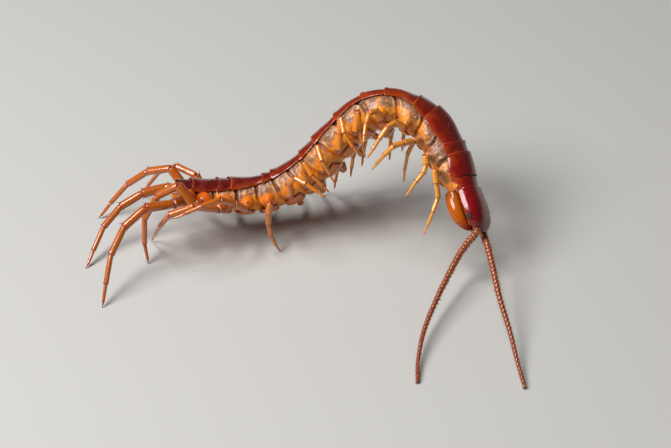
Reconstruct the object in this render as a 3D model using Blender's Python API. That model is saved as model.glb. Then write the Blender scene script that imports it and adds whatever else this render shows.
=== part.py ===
"""A stone centipede as a life-size, still model: body arched, head down, antennae laid forward.

Built in Blender 4.5. Sizes below are in millimetres, +Z is up and the floor is at z = 0.
The head points to +X and the right side of the body faces -Y. The finished model is moved
so that its origin is in the middle of the floor under it.
"""
import math

import bmesh
import bpy
from mathutils import Matrix, Vector

MM = 0.001

# The gap between two nodes, and between two lengths of the trunk
GAP = 0.3
CUT = 0.36

# The middle of the floor under the whole model, which becomes the origin
ORIGIN = Vector((-2.79, -5.18, 0.0))

# The middle line of the body, from the tip of the tail to the front of the head
BODY_LINE = [
    (-12.7, 0.4, 4.8), (-9.4, 0.9, 4.0), (-5.5, 1.6, 3.7), (-2.4, 2.3, 5.0), (0.2, 3.2, 7.6),
    (2.5, 3.8, 9.6), (5.0, 3.8, 9.95), (7.2, 2.9, 9.1), (8.6, 1.1, 7.5), (9.8, -1.1, 5.8),
    (10.8, -3.5, 3.9),
]

# Half sizes of the trunk and how far it rolls over, at distances behind the head's front
TRUNK_AT = (3.2, 5.0, 8.5, 13.0, 18.0, 22.0, 26.0, 29.0, 31.0, 32.4)
HALF_WIDTH = (1.25, 1.58, 1.7, 1.82, 1.88, 1.82, 1.66, 1.36, 1.0, 0.45)
HALF_HEIGHT = (0.95, 1.3, 1.38, 1.36, 1.34, 1.36, 1.28, 1.05, 0.8, 0.4)
ROLL_AT = (0.0, 4.0, 8.0, 9.0, 10.0, 11.6, 14.0, 17.0, 21.0, 24.0, 28.0, 32.0)
ROLL = (-8.0, -10.0, -12.0, -3.0, 16.0, 42.0, 53.0, 55.0, 49.0, 41.0, 25.0, 16.0)

# How square the trunk's section is, how far its flank sinks between two legs and over what reach
SECTION_POWER = 0.85
FLANK_DIP = 0.09
FLANK_REACH = 0.95

# The back plates, long and short by turns: front and rear edge, behind the head's front
PLATES = [
    (4.05, 5.75), (5.75, 6.7), (6.7, 9.4), (9.4, 10.6), (10.6, 12.6), (12.6, 13.9), (13.9, 15.9),
    (15.9, 18.3), (18.3, 19.9), (19.9, 23.5), (23.5, 24.4), (24.4, 27.4), (27.4, 28.3),
    (28.3, 30.5), (30.5, 31.5),
]
POINTED_PLATES = (9, 11, 13)
PLATE_LIFT = 0.12
PLATE_REAR_LIFT = 0.3
PLATE_SINK = 0.35
PLATE_SPREAD = (57.0, 62.0)
FRONT_SPREADS = {1: (84.0, 54.0), 2: (52.0, 54.0), 3: (54.0, 60.0)}
PLATE_POINT = 0.28
PLATE_CORNER = 0.1
BELLY_REACH = 0.62
BELLY_LIFT = 0.14
BELLY_SINK = 0.3
HEAD_REAR = 3.35
TRUNK_FRONT = 3.65
TAIL_TIP = 32.2

# Trunk lengths: the first plate of each
TRUNK_STARTS = (1, 4, 7, 9, 11)

# Where the legs grow, behind the head's front
LEG_AT = (4.9, 6.5, 8.4, 10.6, 13.0, 15.2, 17.1, 19.2, 21.0, 22.6, 24.5, 26.2, 27.9, 29.6, 30.8)
LEG_RADIUS = (0.26, 0.27, 0.29, 0.3, 0.3, 0.3, 0.3, 0.3, 0.3, 0.3, 0.31, 0.33, 0.36, 0.42, 0.42)
COXA_TURN = (103, 104, 107, 112, 118, 118, 118, 118, 118, 116, 114, 110, 106, 102, 100)
COXA_AIM = (80, 80, 84, 100, 118, 118, 118, 118, 118, 116, 114, 110, 106, 102, 100)
COXA_REACH = 0.5
COXA_SINK = 0.9
THINNEST = 0.25

# A leg's joints as shares of its length, its thickness between them, and how each joint
# is thinner at its near end and thicker at its far end
LEG_JOINTS = (0.0, 0.08, 0.27, 0.46, 0.66, 0.85, 0.96, 1.0)
LEG_THICKNESS = (1.0, 1.05, 0.95, 0.85, 0.7, 0.5, 0.22)
JOINT_INSET = 0.1
JOINT_NECK = 0.86
JOINT_KNOB = 1.08
CLAW_REACH = 0.12
CLAW_RADIUS = 0.06
ROOT_REACH = 0.5

# Room that two rings of a leg keep in a bend, as a share of what they just need
BEND_ROOM = 1.15
ROOT_STRETCH = 0.1

# Each right leg's knee, ankle and foot. A foot at height 0 stands on the floor
RIGHT_LEGS = {
    1: [(7.8, -2.3, 6.2), (7.3, -3.1, 5.0), (6.7, -3.6, 3.4)],
    2: [(6.9, -1.0, 7.9), (6.2, -1.9, 7.4), (5.3, -2.3, 6.1)],
    3: [(5.5, 0.0, 9.6), (4.3, -0.8, 9.7), (2.7, -0.9, 7.6)],
    4: [(4.7, 0.7, 10.9), (3.9, -0.1, 11.0), (2.4, -1.2, 8.9)],
    5: [(2.8, 1.0, 11.9), (2.3, -0.2, 11.5), (2.1, -1.4, 10.3)],
    6: [(1.8, 1.8, 11.9), (1.7, 1.0, 10.8), (2.3, 0.7, 7.6)],
    7: [(0.4, 1.2, 11.0), (0.7, 0.1, 10.2), (1.9, -0.3, 8.4)],
    8: [(-1.4, 0.5, 9.1), (-1.1, -0.7, 8.5), (0.0, -0.9, 6.3)],
    9: [(-2.5, -0.1, 7.9), (-2.0, -0.9, 7.4), (-0.4, -1.1, 5.6)],
    10: [(-3.5, -0.6, 6.7), (-2.5, -1.3, 6.8), (-0.7, -2.0, 5.8)],
    11: [(-5.2, -1.1, 3.2), (-5.0, -1.2, 1.6), (-4.3, -1.1, 0.0)],
    12: [(-8.7, -2.6, 6.1), (-10.5, -3.7, 6.0), (-12.4, -4.1, 5.3)],
    13: [(-10.3, -2.4, 5.4), (-12.7, -2.8, 4.75), (-14.5, 0.3, 0.0)],
    14: [(-11.6, -1.35, 6.3), (-13.1, -1.0, 6.0), (-14.8, -1.6, 3.2), (-14.5, -2.7, 0.0)],
    15: [(-14.3, -2.5, 5.3), (-15.7, -3.6, 4.8), (-16.9, -5.7, 3.4), (-17.6, -8.2, 0.0)],
}

# The same of each left leg
LEFT_LEGS = {
    1: [(10.8, 3.0, 4.6), (10.2, 3.4, 2.5), (9.6, 3.2, 0.0)],
    2: [(9.9, 4.6, 5.9), (9.4, 5.1, 4.2), (9.0, 4.6, 2.6)],
    3: [(6.5, 4.8, 7.0), (5.6, 4.4, 5.2), (5.4, 4.0, 3.0)],
    4: [(5.8, 6.6, 7.6), (5.5, 7.1, 6.2), (5.3, 6.6, 4.2)],
    5: [(4.5, 6.2, 7.0), (4.4, 6.8, 5.5), (4.3, 6.2, 3.6)],
    6: [(2.6, 6.3, 6.1), (2.3, 6.8, 4.7), (2.1, 6.2, 3.0)],
    7: [(1.7, 5.9, 5.2), (1.4, 6.4, 3.9), (1.2, 5.9, 2.2)],
    8: [(0.4, 5.6, 3.9), (0.1, 6.2, 2.5), (-0.1, 6.0, 1.0)],
    9: [(-1.1, 5.0, 2.8), (-1.2, 6.0, 1.8), (-1.2, 6.5, 0.0)],
    10: [(-2.9, 5.0, 2.4), (-2.9, 6.0, 1.8), (-2.9, 6.5, 0.0)],
    11: [(-5.1, 4.5, 2.0), (-5.1, 5.5, 1.5), (-5.1, 6.1, 0.0)],
    12: [(-8.2, 4.0, 2.6), (-8.9, 5.2, 2.0), (-9.4, 6.3, 0.0)],
    13: [(-11.4, 4.0, 4.2), (-13.7, 5.4, 3.4), (-15.8, 6.5, 0.0)],
    14: [(-12.4, 3.3, 4.6), (-14.2, 4.0, 4.4), (-16.7, 4.3, 2.5), (-18.9, 3.3, 0.0)],
    15: [(-14.0, 2.0, 3.9), (-16.0, 1.0, 3.5), (-17.8, -0.4, 2.4), (-19.3, -3.3, 0.0)],
}

# Each antenna after its socket, hanging free with its tip on the floor
ANTENNA_RADIUS = 0.31
ANTENNA_TIP_RADIUS = 0.2
ANTENNA_ARTICLES = 22
ARTICLE_NECK_AT = 0.08
ARTICLE_KNOB_AT = 0.75
ARTICLE_NECK = 0.84
ARTICLE_KNOB = 1.06
SOCKET_REACH = 0.25
RIGHT_ANTENNA = [
    (9.81, -4.42, 2.95), (8.99, -5.92, 2.5), (7.67, -8.95, 1.75), (6.57, -12.01, 1.05),
    (6.03, -14.81, 0.5), (5.89, -17.06, 0.16),
]
LEFT_ANTENNA = [
    (11.54, -4.63, 3.2), (11.77, -6.19, 2.85), (12.22, -9.46, 2.0), (12.8, -12.3, 1.2),
    (13.28, -15.55, 0.5), (13.61, -17.67, 0.16),
]

# The head in its own frame: forward, to the left and towards the back, from the head's rear
HEAD_RISE = 0.42
HEAD_AT = (0.0, 0.4, 1.05, 1.75, 2.45, 3.05, 3.45, 3.7)
HEAD_HALF_WIDTH = (1.22, 1.36, 1.5, 1.56, 1.48, 1.22, 0.88, 0.42)
HEAD_TOP = (0.56, 0.66, 0.74, 0.76, 0.7, 0.58, 0.42, 0.22)
HEAD_BOTTOM = (0.5, 0.5, 0.44, 0.42, 0.42, 0.42, 0.36, 0.2)
FORCIPULE_LINE = [
    (0.12, 0.9, -0.74), (0.74, 1.06, -0.76), (1.46, 1.1, -0.78), (2.16, 1.0, -0.76),
    (2.7, 0.78, -0.66), (3.06, 0.5, -0.52), (3.22, 0.2, -0.32),
]
FORCIPULE_RADIUS = (0.38, 0.43, 0.43, 0.38, 0.3, 0.2, 0.05)
FORCIPULE_DEPTH = 1.3

# The shield over the head, its rim, and the segment under the head that the forcipules grow from
SHIELD_SPREAD = math.radians(84)
SHIELD_RIM = 0.1
SHIELD_RISE = 0.08
SHIELD_SINK = 0.3
UNDER_AT = (0.0, 0.2, 0.5, 1.0, 1.7)
UNDER_HALF_WIDTH = (0.35, 0.37, 0.42, 0.5, 0.36)
UNDER_LOW = (-1.2, -1.28, -1.3, -1.25, -1.0)
UNDER_HIGH = (0.2, 0.2, 0.2, 0.2, 0.1)

# An antenna's socket: its mouth, a point further along it and its radii. An eye: its place,
# points outside and in front of it, and its half sizes
SOCKET_MOUTH = (3.25, 0.58, 0.3)
SOCKET_AIM = (3.9, 0.8, 0.0)
SOCKET_RADIUS = (0.42, 0.34)
SOCKET_SINK = 0.6
EYE_PLACE = (2.5, 1.7, 0.34)
EYE_OUTSIDE = (2.6, 2.1, 0.38)
EYE_AHEAD = (3.2, 1.36, 0.34)
EYE_LIFT = 0.2
EYE_HALF_SIZES = (0.36, 0.24, 0.16)

collection = bpy.data.collections.new("stone_centipede")
work = bpy.data.collections.new("cutters")


def clear_scene():
    """Empty the scene and link the two collections."""
    for thing in list(bpy.data.objects):
        bpy.data.objects.remove(thing, do_unlink=True)
    bpy.context.scene.collection.children.link(collection)
    bpy.context.scene.collection.children.link(work)


def make_material(name, colour, roughness):
    """A Principled material with one colour."""
    material = bpy.data.materials.new(name)
    material.use_nodes = True
    shader = material.node_tree.nodes["Principled BSDF"]
    shader.inputs["Base Color"].default_value = (*colour, 1.0)
    shader.inputs["Roughness"].default_value = roughness
    shader.inputs["Metallic"].default_value = 0.0
    return material


def blend(value, stations, sizes):
    """Read a size between stations along a straight line."""
    if value <= stations[0]:
        return sizes[0]
    for i in range(1, len(stations)):
        if value <= stations[i]:
            share = (value - stations[i - 1]) / (stations[i] - stations[i - 1])
            return sizes[i - 1] + share * (sizes[i] - sizes[i - 1])
    return sizes[-1]


def smooth_line(points, steps=12):
    """A smooth line through the points, as many short steps."""
    nodes = [Vector(p) for p in points]
    nodes = [2 * nodes[0] - nodes[1]] + nodes + [2 * nodes[-1] - nodes[-2]]
    line = []
    for i in range(1, len(nodes) - 2):
        a, b, c, d = nodes[i - 1:i + 3]
        for k in range(steps):
            t = k / steps
            line.append(0.5 * (2 * b + (c - a) * t + (2 * a - 5 * b + 4 * c - d) * t * t
                               + (3 * b - a - 3 * c + d) * t ** 3))
    line.append(nodes[-2])
    return line


def line_lengths(line):
    """The distance along a line to each of its points."""
    lengths = [0.0]
    for a, b in zip(line, line[1:]):
        lengths.append(lengths[-1] + (b - a).length)
    return lengths


def point_along(line, lengths, distance):
    """The point at a distance along a line, and the direction there."""
    distance = min(max(distance, 0.0), lengths[-1])
    i = 1
    while i < len(lengths) - 1 and lengths[i] < distance:
        i += 1
    share = (distance - lengths[i - 1]) / (lengths[i] - lengths[i - 1])
    return line[i - 1].lerp(line[i], share), (line[i] - line[i - 1]).normalized()


BODY = smooth_line(list(reversed(BODY_LINE)))
BODY_LENGTHS = line_lengths(BODY)


def body_frame(behind):
    """Centre, forward, right and back directions of the body, behind the head's front."""
    centre, _ = point_along(BODY, BODY_LENGTHS, behind)
    ahead, _ = point_along(BODY, BODY_LENGTHS, behind - 0.4)
    after, _ = point_along(BODY, BODY_LENGTHS, behind + 0.4)
    forward = (ahead - after).normalized()
    roll = math.radians(blend(behind, ROLL_AT, ROLL))
    right = Vector((0.0, -math.cos(roll), math.sin(roll)))
    right = (right - right.dot(forward) * forward).normalized()
    return centre, forward, right, right.cross(forward)


def rounded(value, power):
    """A sine or cosine with its size raised to a power, which squares a section's corners."""
    return math.copysign(abs(value) ** power, value)


def bulge(behind):
    """How far the soft flank swells: most at each leg and least between two legs."""
    nearest = min(abs(behind - at) for at in LEG_AT)
    return 1.0 - FLANK_DIP * min(nearest / FLANK_REACH, 1.0) ** 2


def skin_point(behind, angle, lift=0.0):
    """A point on the trunk, at an angle from the middle of the back towards the right side."""
    centre, _, right, up = body_frame(behind)
    across = rounded(math.sin(angle), SECTION_POWER)
    over = rounded(math.cos(angle), SECTION_POWER)
    flank = bulge(behind) if abs(across) > 0.5 else 1.0
    width = blend(behind, TRUNK_AT, HALF_WIDTH) * flank + lift
    height = blend(behind, TRUNK_AT, HALF_HEIGHT) + lift
    return centre + right * across * width + up * over * height


def new_object(name, mesh, home):
    """An object with this mesh or curve in a collection."""
    thing = bpy.data.objects.new(name, mesh)
    home.objects.link(thing)
    return thing


def loft(name, rings, home=work):
    """A closed mesh through rings of the same number of points, capped at both ends."""
    bm = bmesh.new()
    rows = [[bm.verts.new(p) for p in ring] for ring in rings]
    for low, high in zip(rows, rows[1:]):
        for i in range(len(low)):
            j = (i + 1) % len(low)
            bm.faces.new((low[i], low[j], high[j], high[i]))
    bm.faces.new(list(reversed(rows[0])))
    bm.faces.new(rows[-1])
    bmesh.ops.recalc_face_normals(bm, faces=bm.faces)
    mesh = bpy.data.meshes.new(name)
    bm.to_mesh(mesh)
    bm.free()
    return new_object(name, mesh, home)


def sheet_solid(name, outer, inner, home=work):
    """A closed plate between two grids of points of the same size."""
    bm = bmesh.new()
    top = [[bm.verts.new(p) for p in row] for row in outer]
    low = [[bm.verts.new(p) for p in row] for row in inner]
    rows = len(top)
    columns = len(top[0])
    for i in range(rows - 1):
        for j in range(columns - 1):
            for grid in (top, low):
                bm.faces.new((grid[i][j], grid[i][j + 1], grid[i + 1][j + 1]))
                bm.faces.new((grid[i][j], grid[i + 1][j + 1], grid[i + 1][j]))
    edge = [(0, j) for j in range(columns)] + [(i, columns - 1) for i in range(1, rows)]
    edge += [(rows - 1, j) for j in range(columns - 2, -1, -1)] + [(i, 0) for i in range(rows - 2, 0, -1)]
    for (a, b), (c, d) in zip(edge, edge[1:] + edge[:1]):
        bm.faces.new((top[a][b], top[c][d], low[c][d], low[a][b]))
    bmesh.ops.recalc_face_normals(bm, faces=bm.faces)
    mesh = bpy.data.meshes.new(name)
    bm.to_mesh(mesh)
    bm.free()
    return new_object(name, mesh, home)


def tube(name, points, radii, home=work, sides=6):
    """A tube through the points, with its own radius at each, as a closed mesh."""
    curve = bpy.data.curves.new(name, "CURVE")
    curve.dimensions = "3D"
    curve.bevel_depth = 1.0
    curve.bevel_resolution = (sides - 4) // 2
    curve.use_fill_caps = True
    spline = curve.splines.new("POLY")
    spline.points.add(len(points) - 1)
    for spot, place, radius in zip(spline.points, points, radii):
        spot.co = (*place, 1.0)
        spot.radius = radius
    source = new_object(name + "_line", curve, work)
    graph = bpy.context.evaluated_depsgraph_get()
    mesh = bpy.data.meshes.new_from_object(source.evaluated_get(graph))
    bpy.data.objects.remove(source, do_unlink=True)
    bm = bmesh.new()
    bm.from_mesh(mesh)
    bmesh.ops.remove_doubles(bm, verts=bm.verts, dist=1e-4)
    bmesh.ops.recalc_face_normals(bm, faces=bm.faces)
    bm.to_mesh(mesh)
    bm.free()
    mesh.name = name
    return new_object(name, mesh, home)


def largest_surface(bm):
    """Delete every closed surface but the one with the most room in it."""
    left = set(bm.faces)
    islands = []
    while left:
        island = []
        stack = [left.pop()]
        while stack:
            face = stack.pop()
            island.append(face)
            for edge in face.edges:
                for other in edge.link_faces:
                    if other in left:
                        left.remove(other)
                        stack.append(other)
        islands.append(island)

    def room(island):
        points = [v.co for face in island for v in face.verts]
        size = [max(p[i] for p in points) - min(p[i] for p in points) for i in range(3)]
        return size[0] * size[1] * size[2]

    islands.sort(key=room)
    scrap = [face for island in islands[:-1] for face in island]
    bmesh.ops.delete(bm, geom=scrap, context="FACES")


def cut_at_floor(bm):
    """Cut away what is below the floor and close the cut with a flat."""
    everything = bm.verts[:] + bm.edges[:] + bm.faces[:]
    cut = bmesh.ops.bisect_plane(bm, geom=everything, plane_co=(0, 0, 0), plane_no=(0, 0, 1),
                                 clear_inner=True, dist=1e-4)
    rim = [part for part in cut["geom_cut"] if isinstance(part, bmesh.types.BMEdge)]
    if rim:
        bmesh.ops.holes_fill(bm, edges=rim, sides=0)
        bmesh.ops.recalc_face_normals(bm, faces=bm.faces)


def finish(thing, name, material, on_floor=False):
    """Turn a fused or plain piece into a node, in metres."""
    bm = bmesh.new()
    bm.from_mesh(thing.data)
    if on_floor:
        cut_at_floor(bm)
    bmesh.ops.triangulate(bm, faces=bm.faces)
    largest_surface(bm)
    bmesh.ops.translate(bm, vec=-ORIGIN, verts=bm.verts)
    bmesh.ops.scale(bm, vec=(MM, MM, MM), verts=bm.verts)
    bm.to_mesh(thing.data)
    bm.free()
    thing.name = name
    thing.data.name = name
    thing.data.materials.clear()
    thing.data.materials.append(material)
    thing.data.shade_smooth()
    thing.data.set_sharp_from_angle(angle=math.radians(40))
    for home in list(thing.users_collection):
        home.objects.unlink(thing)
    collection.objects.link(thing)
    return thing


def fuse(base, pieces):
    """One union of a base with closed pieces, applied, and the pieces removed."""
    group = bpy.data.collections.new("fused")
    bpy.context.scene.collection.children.link(group)
    for piece in pieces:
        work.objects.unlink(piece)
        group.objects.link(piece)
    union = base.modifiers.new("union", "BOOLEAN")
    union.operation = "UNION"
    union.operand_type = "COLLECTION"
    union.collection = group
    union.solver = "EXACT"
    graph = bpy.context.evaluated_depsgraph_get()
    mesh = bpy.data.meshes.new_from_object(base.evaluated_get(graph))
    base.modifiers.clear()
    base.data = mesh
    for piece in pieces:
        bpy.data.objects.remove(piece, do_unlink=True)
    bpy.data.collections.remove(group)
    return base


def back_plate(number, front, rear):
    """A raised plate over the back. Its rear edge stands up, and some have pointed rear corners."""
    outer = []
    inner = []
    columns = 7
    wide, narrow = [math.radians(turn) for turn in FRONT_SPREADS.get(number, PLATE_SPREAD)]
    for share in (0.0, 0.45, 1.0):
        lift = PLATE_LIFT + (PLATE_REAR_LIFT - PLATE_LIFT) * share ** 2
        row_out = []
        row_in = []
        for j in range(columns):
            across = 2.0 * j / (columns - 1) - 1.0
            point = PLATE_POINT if number in POINTED_PLATES else PLATE_CORNER
            reach = point * max(0.0, abs(across) - 0.6) / 0.4 - 0.06 * (1 - across * across)
            behind = front + (rear - front) * share + reach * share
            angle = across * (wide + (narrow - wide) * share)
            edge = 1.0 - 0.35 * abs(across) ** 6
            row_out.append(skin_point(behind, angle, lift * edge))
            row_in.append(skin_point(behind, angle, -PLATE_SINK))
        outer.append(row_out)
        inner.append(row_in)
    return sheet_solid(f"plate_{number}", outer, inner)


def belly_plate(number):
    """A low plate under the belly between two legs."""
    middle = LEG_AT[number - 1]
    outer = []
    inner = []
    for along, width in ((-BELLY_REACH, math.radians(34)), (BELLY_REACH, math.radians(28))):
        angles = [math.pi + width * across for across in (-1.0, 0.0, 1.0)]
        outer.append([skin_point(middle + along, a, BELLY_LIFT) for a in angles])
        inner.append([skin_point(middle + along, a, -BELLY_SINK) for a in angles])
    return sheet_solid(f"belly_{number}", outer, inner)


def coxa_frame(side, number):
    """End point of a leg's first joint on the trunk, and the direction that it points in."""
    at = LEG_AT[number - 1]
    turn = 1.0 if side == "right" else -1.0
    _, forward, right, up = body_frame(at)
    start = skin_point(at, turn * math.radians(COXA_TURN[number - 1]))
    aim = math.radians(COXA_AIM[number - 1])
    direction = right * turn * math.sin(aim) + up * math.cos(aim)
    backward = blend(number, (1, 3, 11, 15), (0.1, 0.0, 0.0, 0.9))
    direction = (direction - forward * backward).normalized()
    return start, direction


def coxa(side, number):
    """The short thick joint that each leg grows from."""
    start, direction = coxa_frame(side, number)
    radius = LEG_RADIUS[number - 1]
    points = [start - direction * COXA_SINK, start, start + direction * COXA_REACH]
    return tube(f"coxa_{side}_{number}", points, [radius * 1.5, radius * 1.45, radius * 1.12])


def trunk_length(index):
    """One length of the trunk with its plates and the roots of its legs."""
    first = TRUNK_STARTS[index]
    last = TRUNK_STARTS[index + 1] - 1 if index + 1 < len(TRUNK_STARTS) else len(PLATES)
    front = PLATES[first - 1][0] if index else TRUNK_FRONT
    rear = PLATES[last - 1][1] if last < len(PLATES) else TAIL_TIP
    front += CUT / 2
    rear -= CUT / 2 if last < len(PLATES) else 0.0
    steps = max(4, round((rear - front) / 0.62))
    rings = []
    for k in range(steps + 1):
        behind = front + (rear - front) * k / steps
        rings.append([skin_point(behind, 2 * math.pi * i / 12) for i in range(12)])
    base = loft("core", rings)
    pieces = []
    for number in range(first, last + 1):
        plate_front, plate_rear = PLATES[number - 1]
        plate_front = max(plate_front - 0.1, front + 0.02)
        plate_rear = min(plate_rear + 0.12, rear - 0.3)
        pieces.append(back_plate(number, plate_front, plate_rear))
    for number in range(1, len(LEG_AT) + 1):
        if front < LEG_AT[number - 1] < rear:
            pieces.append(belly_plate(number))
            pieces.append(coxa("right", number))
            pieces.append(coxa("left", number))
    return fuse(base, pieces)


def ring_room(points, radii, k):
    """Room between ring k and the next one at the inside of a bend, below 0 where they cross."""
    room = (points[k + 1] - points[k]).length
    for end in (k, k + 1):
        if 0 < end < len(points) - 1:
            bend = (points[end] - points[end - 1]).angle(points[end + 1] - points[end])
            room -= BEND_ROOM * radii[end] * math.tan(bend / 2)
    return room


def without_crossing(points, radii):
    """The same rings, with two made one wherever a bend is so sharp that they would cross.

    At the root the first ring keeps its direction, and the bend moves outwards instead.
    """
    points = list(points)
    radii = list(radii)
    while len(points) > 4:
        rooms = [ring_room(points, radii, k) for k in range(len(points) - 1)]
        if min(rooms) > 0.0:
            break
        k = min(rooms.index(min(rooms)), len(points) - 3)
        if k > 1:
            points[k:k + 2] = [(points[k] + points[k + 1]) / 2]
            radii[k:k + 2] = [max(radii[k:k + 2])]
        else:
            points[1] += (points[1] - points[0]) * ROOT_STRETCH
            if k == 1:
                points.pop(2)
                radii.pop(2)
    return points, radii


def leg(side, number):
    """One leg from its trochanter to its claw."""
    start, direction = coxa_frame(side, number)
    root = start + direction * (COXA_REACH + GAP)
    stops = RIGHT_LEGS[number] if side == "right" else LEFT_LEGS[number]
    line = smooth_line([root, root + direction * ROOT_REACH] + [Vector(p) for p in stops])
    lengths = line_lengths(line)
    total = lengths[-1]
    base = LEG_RADIUS[number - 1]
    points = []
    radii = []
    for k, thickness in enumerate(LEG_THICKNESS):
        begin = LEG_JOINTS[k] * total
        end = LEG_JOINTS[k + 1] * total
        inset = JOINT_INSET * (end - begin)
        radius = base * thickness
        thinnest = THINNEST if k < 5 else 0.0
        for at, swell in ((begin + inset * (k > 0), JOINT_NECK), (end - inset, JOINT_KNOB)):
            points.append(point_along(line, lengths, at)[0])
            radii.append(max(radius * swell, thinnest))
    points.append(line[-1] + (line[-1] - line[-3]).normalized() * CLAW_REACH)
    radii.append(CLAW_RADIUS)
    on_floor = stops[-1][2] == 0.0
    points, radii = without_crossing(points, radii)
    return tube(f"leg_{side}_{number:02d}", points, radii), on_floor


def head_place(forward, left, up):
    """A place given in the head's own frame."""
    centre, ahead, right, back = body_frame(1.9)
    rear = centre - ahead * (HEAD_REAR - 1.9)
    return rear + ahead * forward - right * left + back * up


def head_ring(at, half_width, top, bottom, middle, sides):
    """One ring around a part of the head, with its own height above and below its middle."""
    ring = []
    for i in range(sides):
        angle = 2 * math.pi * i / sides
        height = top if math.cos(angle) > 0 else bottom
        across = rounded(math.sin(angle), 0.8)
        over = rounded(math.cos(angle), 0.9)
        ring.append(head_place(at, -across * half_width, middle + over * height))
    return ring


def shield():
    """The raised shield that covers the head's back and stands out as a rim at its sides."""
    outer = []
    inner = []
    for at, width, top in zip(HEAD_AT[:-1], HEAD_HALF_WIDTH, HEAD_TOP):
        row_out = []
        row_in = []
        for j in range(9):
            angle = (j / 4.0 - 1.0) * SHIELD_SPREAD
            over = rounded(math.cos(angle), 0.9)
            side = -rounded(math.sin(angle), 0.8)
            row_out.append(head_place(at, side * (width + SHIELD_RIM),
                                      HEAD_RISE + SHIELD_RISE + over * (top + SHIELD_RISE)))
            row_in.append(head_place(at, side * (width - SHIELD_SINK),
                                     HEAD_RISE - SHIELD_RISE + over * (top - SHIELD_SINK)))
        outer.append(row_out)
        inner.append(row_in)
    return sheet_solid("shield", outer, inner)


def head():
    """Head capsule, its shield, the antenna sockets and the segment under it."""
    rings = []
    for at, width, top, bottom in zip(HEAD_AT, HEAD_HALF_WIDTH, HEAD_TOP, HEAD_BOTTOM):
        rings.append(head_ring(at, width, top, bottom, HEAD_RISE, sides=14))
    base = loft("head_core", rings)
    pieces = [shield()]
    under = []
    for at, width, low, high in zip(UNDER_AT, UNDER_HALF_WIDTH, UNDER_LOW, UNDER_HIGH):
        half = (high - low) / 2
        under.append(head_ring(at, width, half, half, low + half, sides=10))
    pieces.append(loft("under", under))
    for side in (-1, 1):
        start, direction = socket_frame(side)
        points = [start - direction * SOCKET_SINK, start + direction * SOCKET_REACH]
        pieces.append(tube("socket", points, SOCKET_RADIUS, sides=8))
    return fuse(base, pieces)


def socket_frame(side):
    """Mouth of an antenna's socket and the direction that the antenna leaves in."""
    start, further = [head_place(x, side * y, z) for x, y, z in (SOCKET_MOUTH, SOCKET_AIM)]
    return start, (further - start).normalized()


def antenna(side, stops):
    """A feeler of short bead-like joints, from its socket to its tip on the floor."""
    start, direction = socket_frame(side)
    root = start + direction * (SOCKET_REACH + GAP)
    line = smooth_line([root, root + direction * ROOT_REACH] + [Vector(p) for p in stops])
    lengths = line_lengths(line)
    total = lengths[-1]
    points = []
    radii = []
    for k in range(ANTENNA_ARTICLES):
        begin = total * k / ANTENNA_ARTICLES
        step = total / ANTENNA_ARTICLES
        radius = ANTENNA_RADIUS + (ANTENNA_TIP_RADIUS - ANTENNA_RADIUS) * k / ANTENNA_ARTICLES
        points.append(point_along(line, lengths, begin + (ARTICLE_NECK_AT * step if k else 0.0))[0])
        points.append(point_along(line, lengths, begin + ARTICLE_KNOB_AT * step)[0])
        radii += [radius * ARTICLE_NECK, radius * ARTICLE_KNOB]
    points.append(line[-1])
    radii.append(ANTENNA_TIP_RADIUS * 0.4)
    return tube("antenna", points, radii)


def forcipule(side):
    """The curved venom claw under one side of the head."""
    line = smooth_line([(x, side * y, z / FORCIPULE_DEPTH) for x, y, z in FORCIPULE_LINE], steps=3)
    radii = smooth_line([(r, 0, 0) for r in FORCIPULE_RADIUS], steps=3)
    claw = tube("forcipule", line, [r.x for r in radii], sides=8)
    for vertex in claw.data.vertices:
        x, y, z = vertex.co
        vertex.co = head_place(x, y, z * FORCIPULE_DEPTH)
    return claw


def eye(side):
    """The low dark pad of simple eyes on one side of the head."""
    middle, outside, before = [head_place(x, side * y, z) for x, y, z in (EYE_PLACE, EYE_OUTSIDE, EYE_AHEAD)]
    out = (outside - middle).normalized()
    ahead = (before - middle).normalized()
    out = (out - out.dot(ahead) * ahead).normalized()
    up = ahead.cross(out)
    turn = Matrix((ahead, up, out)).transposed().to_4x4()
    bm = bmesh.new()
    bmesh.ops.create_uvsphere(bm, u_segments=10, v_segments=6, radius=1.0)
    bmesh.ops.scale(bm, vec=EYE_HALF_SIZES, verts=bm.verts)
    bmesh.ops.transform(bm, matrix=Matrix.Translation(middle + out * EYE_LIFT) @ turn, verts=bm.verts)
    bmesh.ops.recalc_face_normals(bm, faces=bm.faces)
    mesh = bpy.data.meshes.new("eye")
    bm.to_mesh(mesh)
    bm.free()
    return new_object("eye", mesh, work)


def main():
    """Build every node of the centipede."""
    clear_scene()
    shell = make_material("back_plate_chitin", (0.21, 0.02, 0.006), 0.2)
    maroon = make_material("head_chitin", (0.16, 0.006, 0.008), 0.18)
    amber = make_material("leg_chitin", (0.6, 0.16, 0.02), 0.3)
    orange = make_material("forcipule_chitin", (0.55, 0.1, 0.006), 0.22)
    rust = make_material("antenna_chitin", (0.32, 0.05, 0.008), 0.35)
    black = make_material("eye_chitin", (0.01, 0.006, 0.006), 0.1)
    for index in range(len(TRUNK_STARTS)):
        finish(trunk_length(index), f"trunk_{index + 1}", shell)
    finish(head(), "head", maroon)
    for side, turn, stops in (("right", -1, RIGHT_ANTENNA), ("left", 1, LEFT_ANTENNA)):
        finish(antenna(turn, stops), f"antenna_{side}", rust, on_floor=True)
        finish(forcipule(turn), f"forcipule_{side}", orange)
        finish(eye(turn), f"eye_{side}", black)
        for number in range(1, len(LEG_AT) + 1):
            thing, on_floor = leg(side, number)
            finish(thing, f"leg_{side}_{number:02d}", amber, on_floor)


main()
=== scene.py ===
"""Dresses a still, life-size stone centipede with glossy plates, soft flanks, legs and beaded antennae.

Lengths are in millimetres in the numbers below, along the same lines as the solids. The head points
to +X, the right side of the body faces -Y, and the floor is at z = 0.
"""

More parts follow.
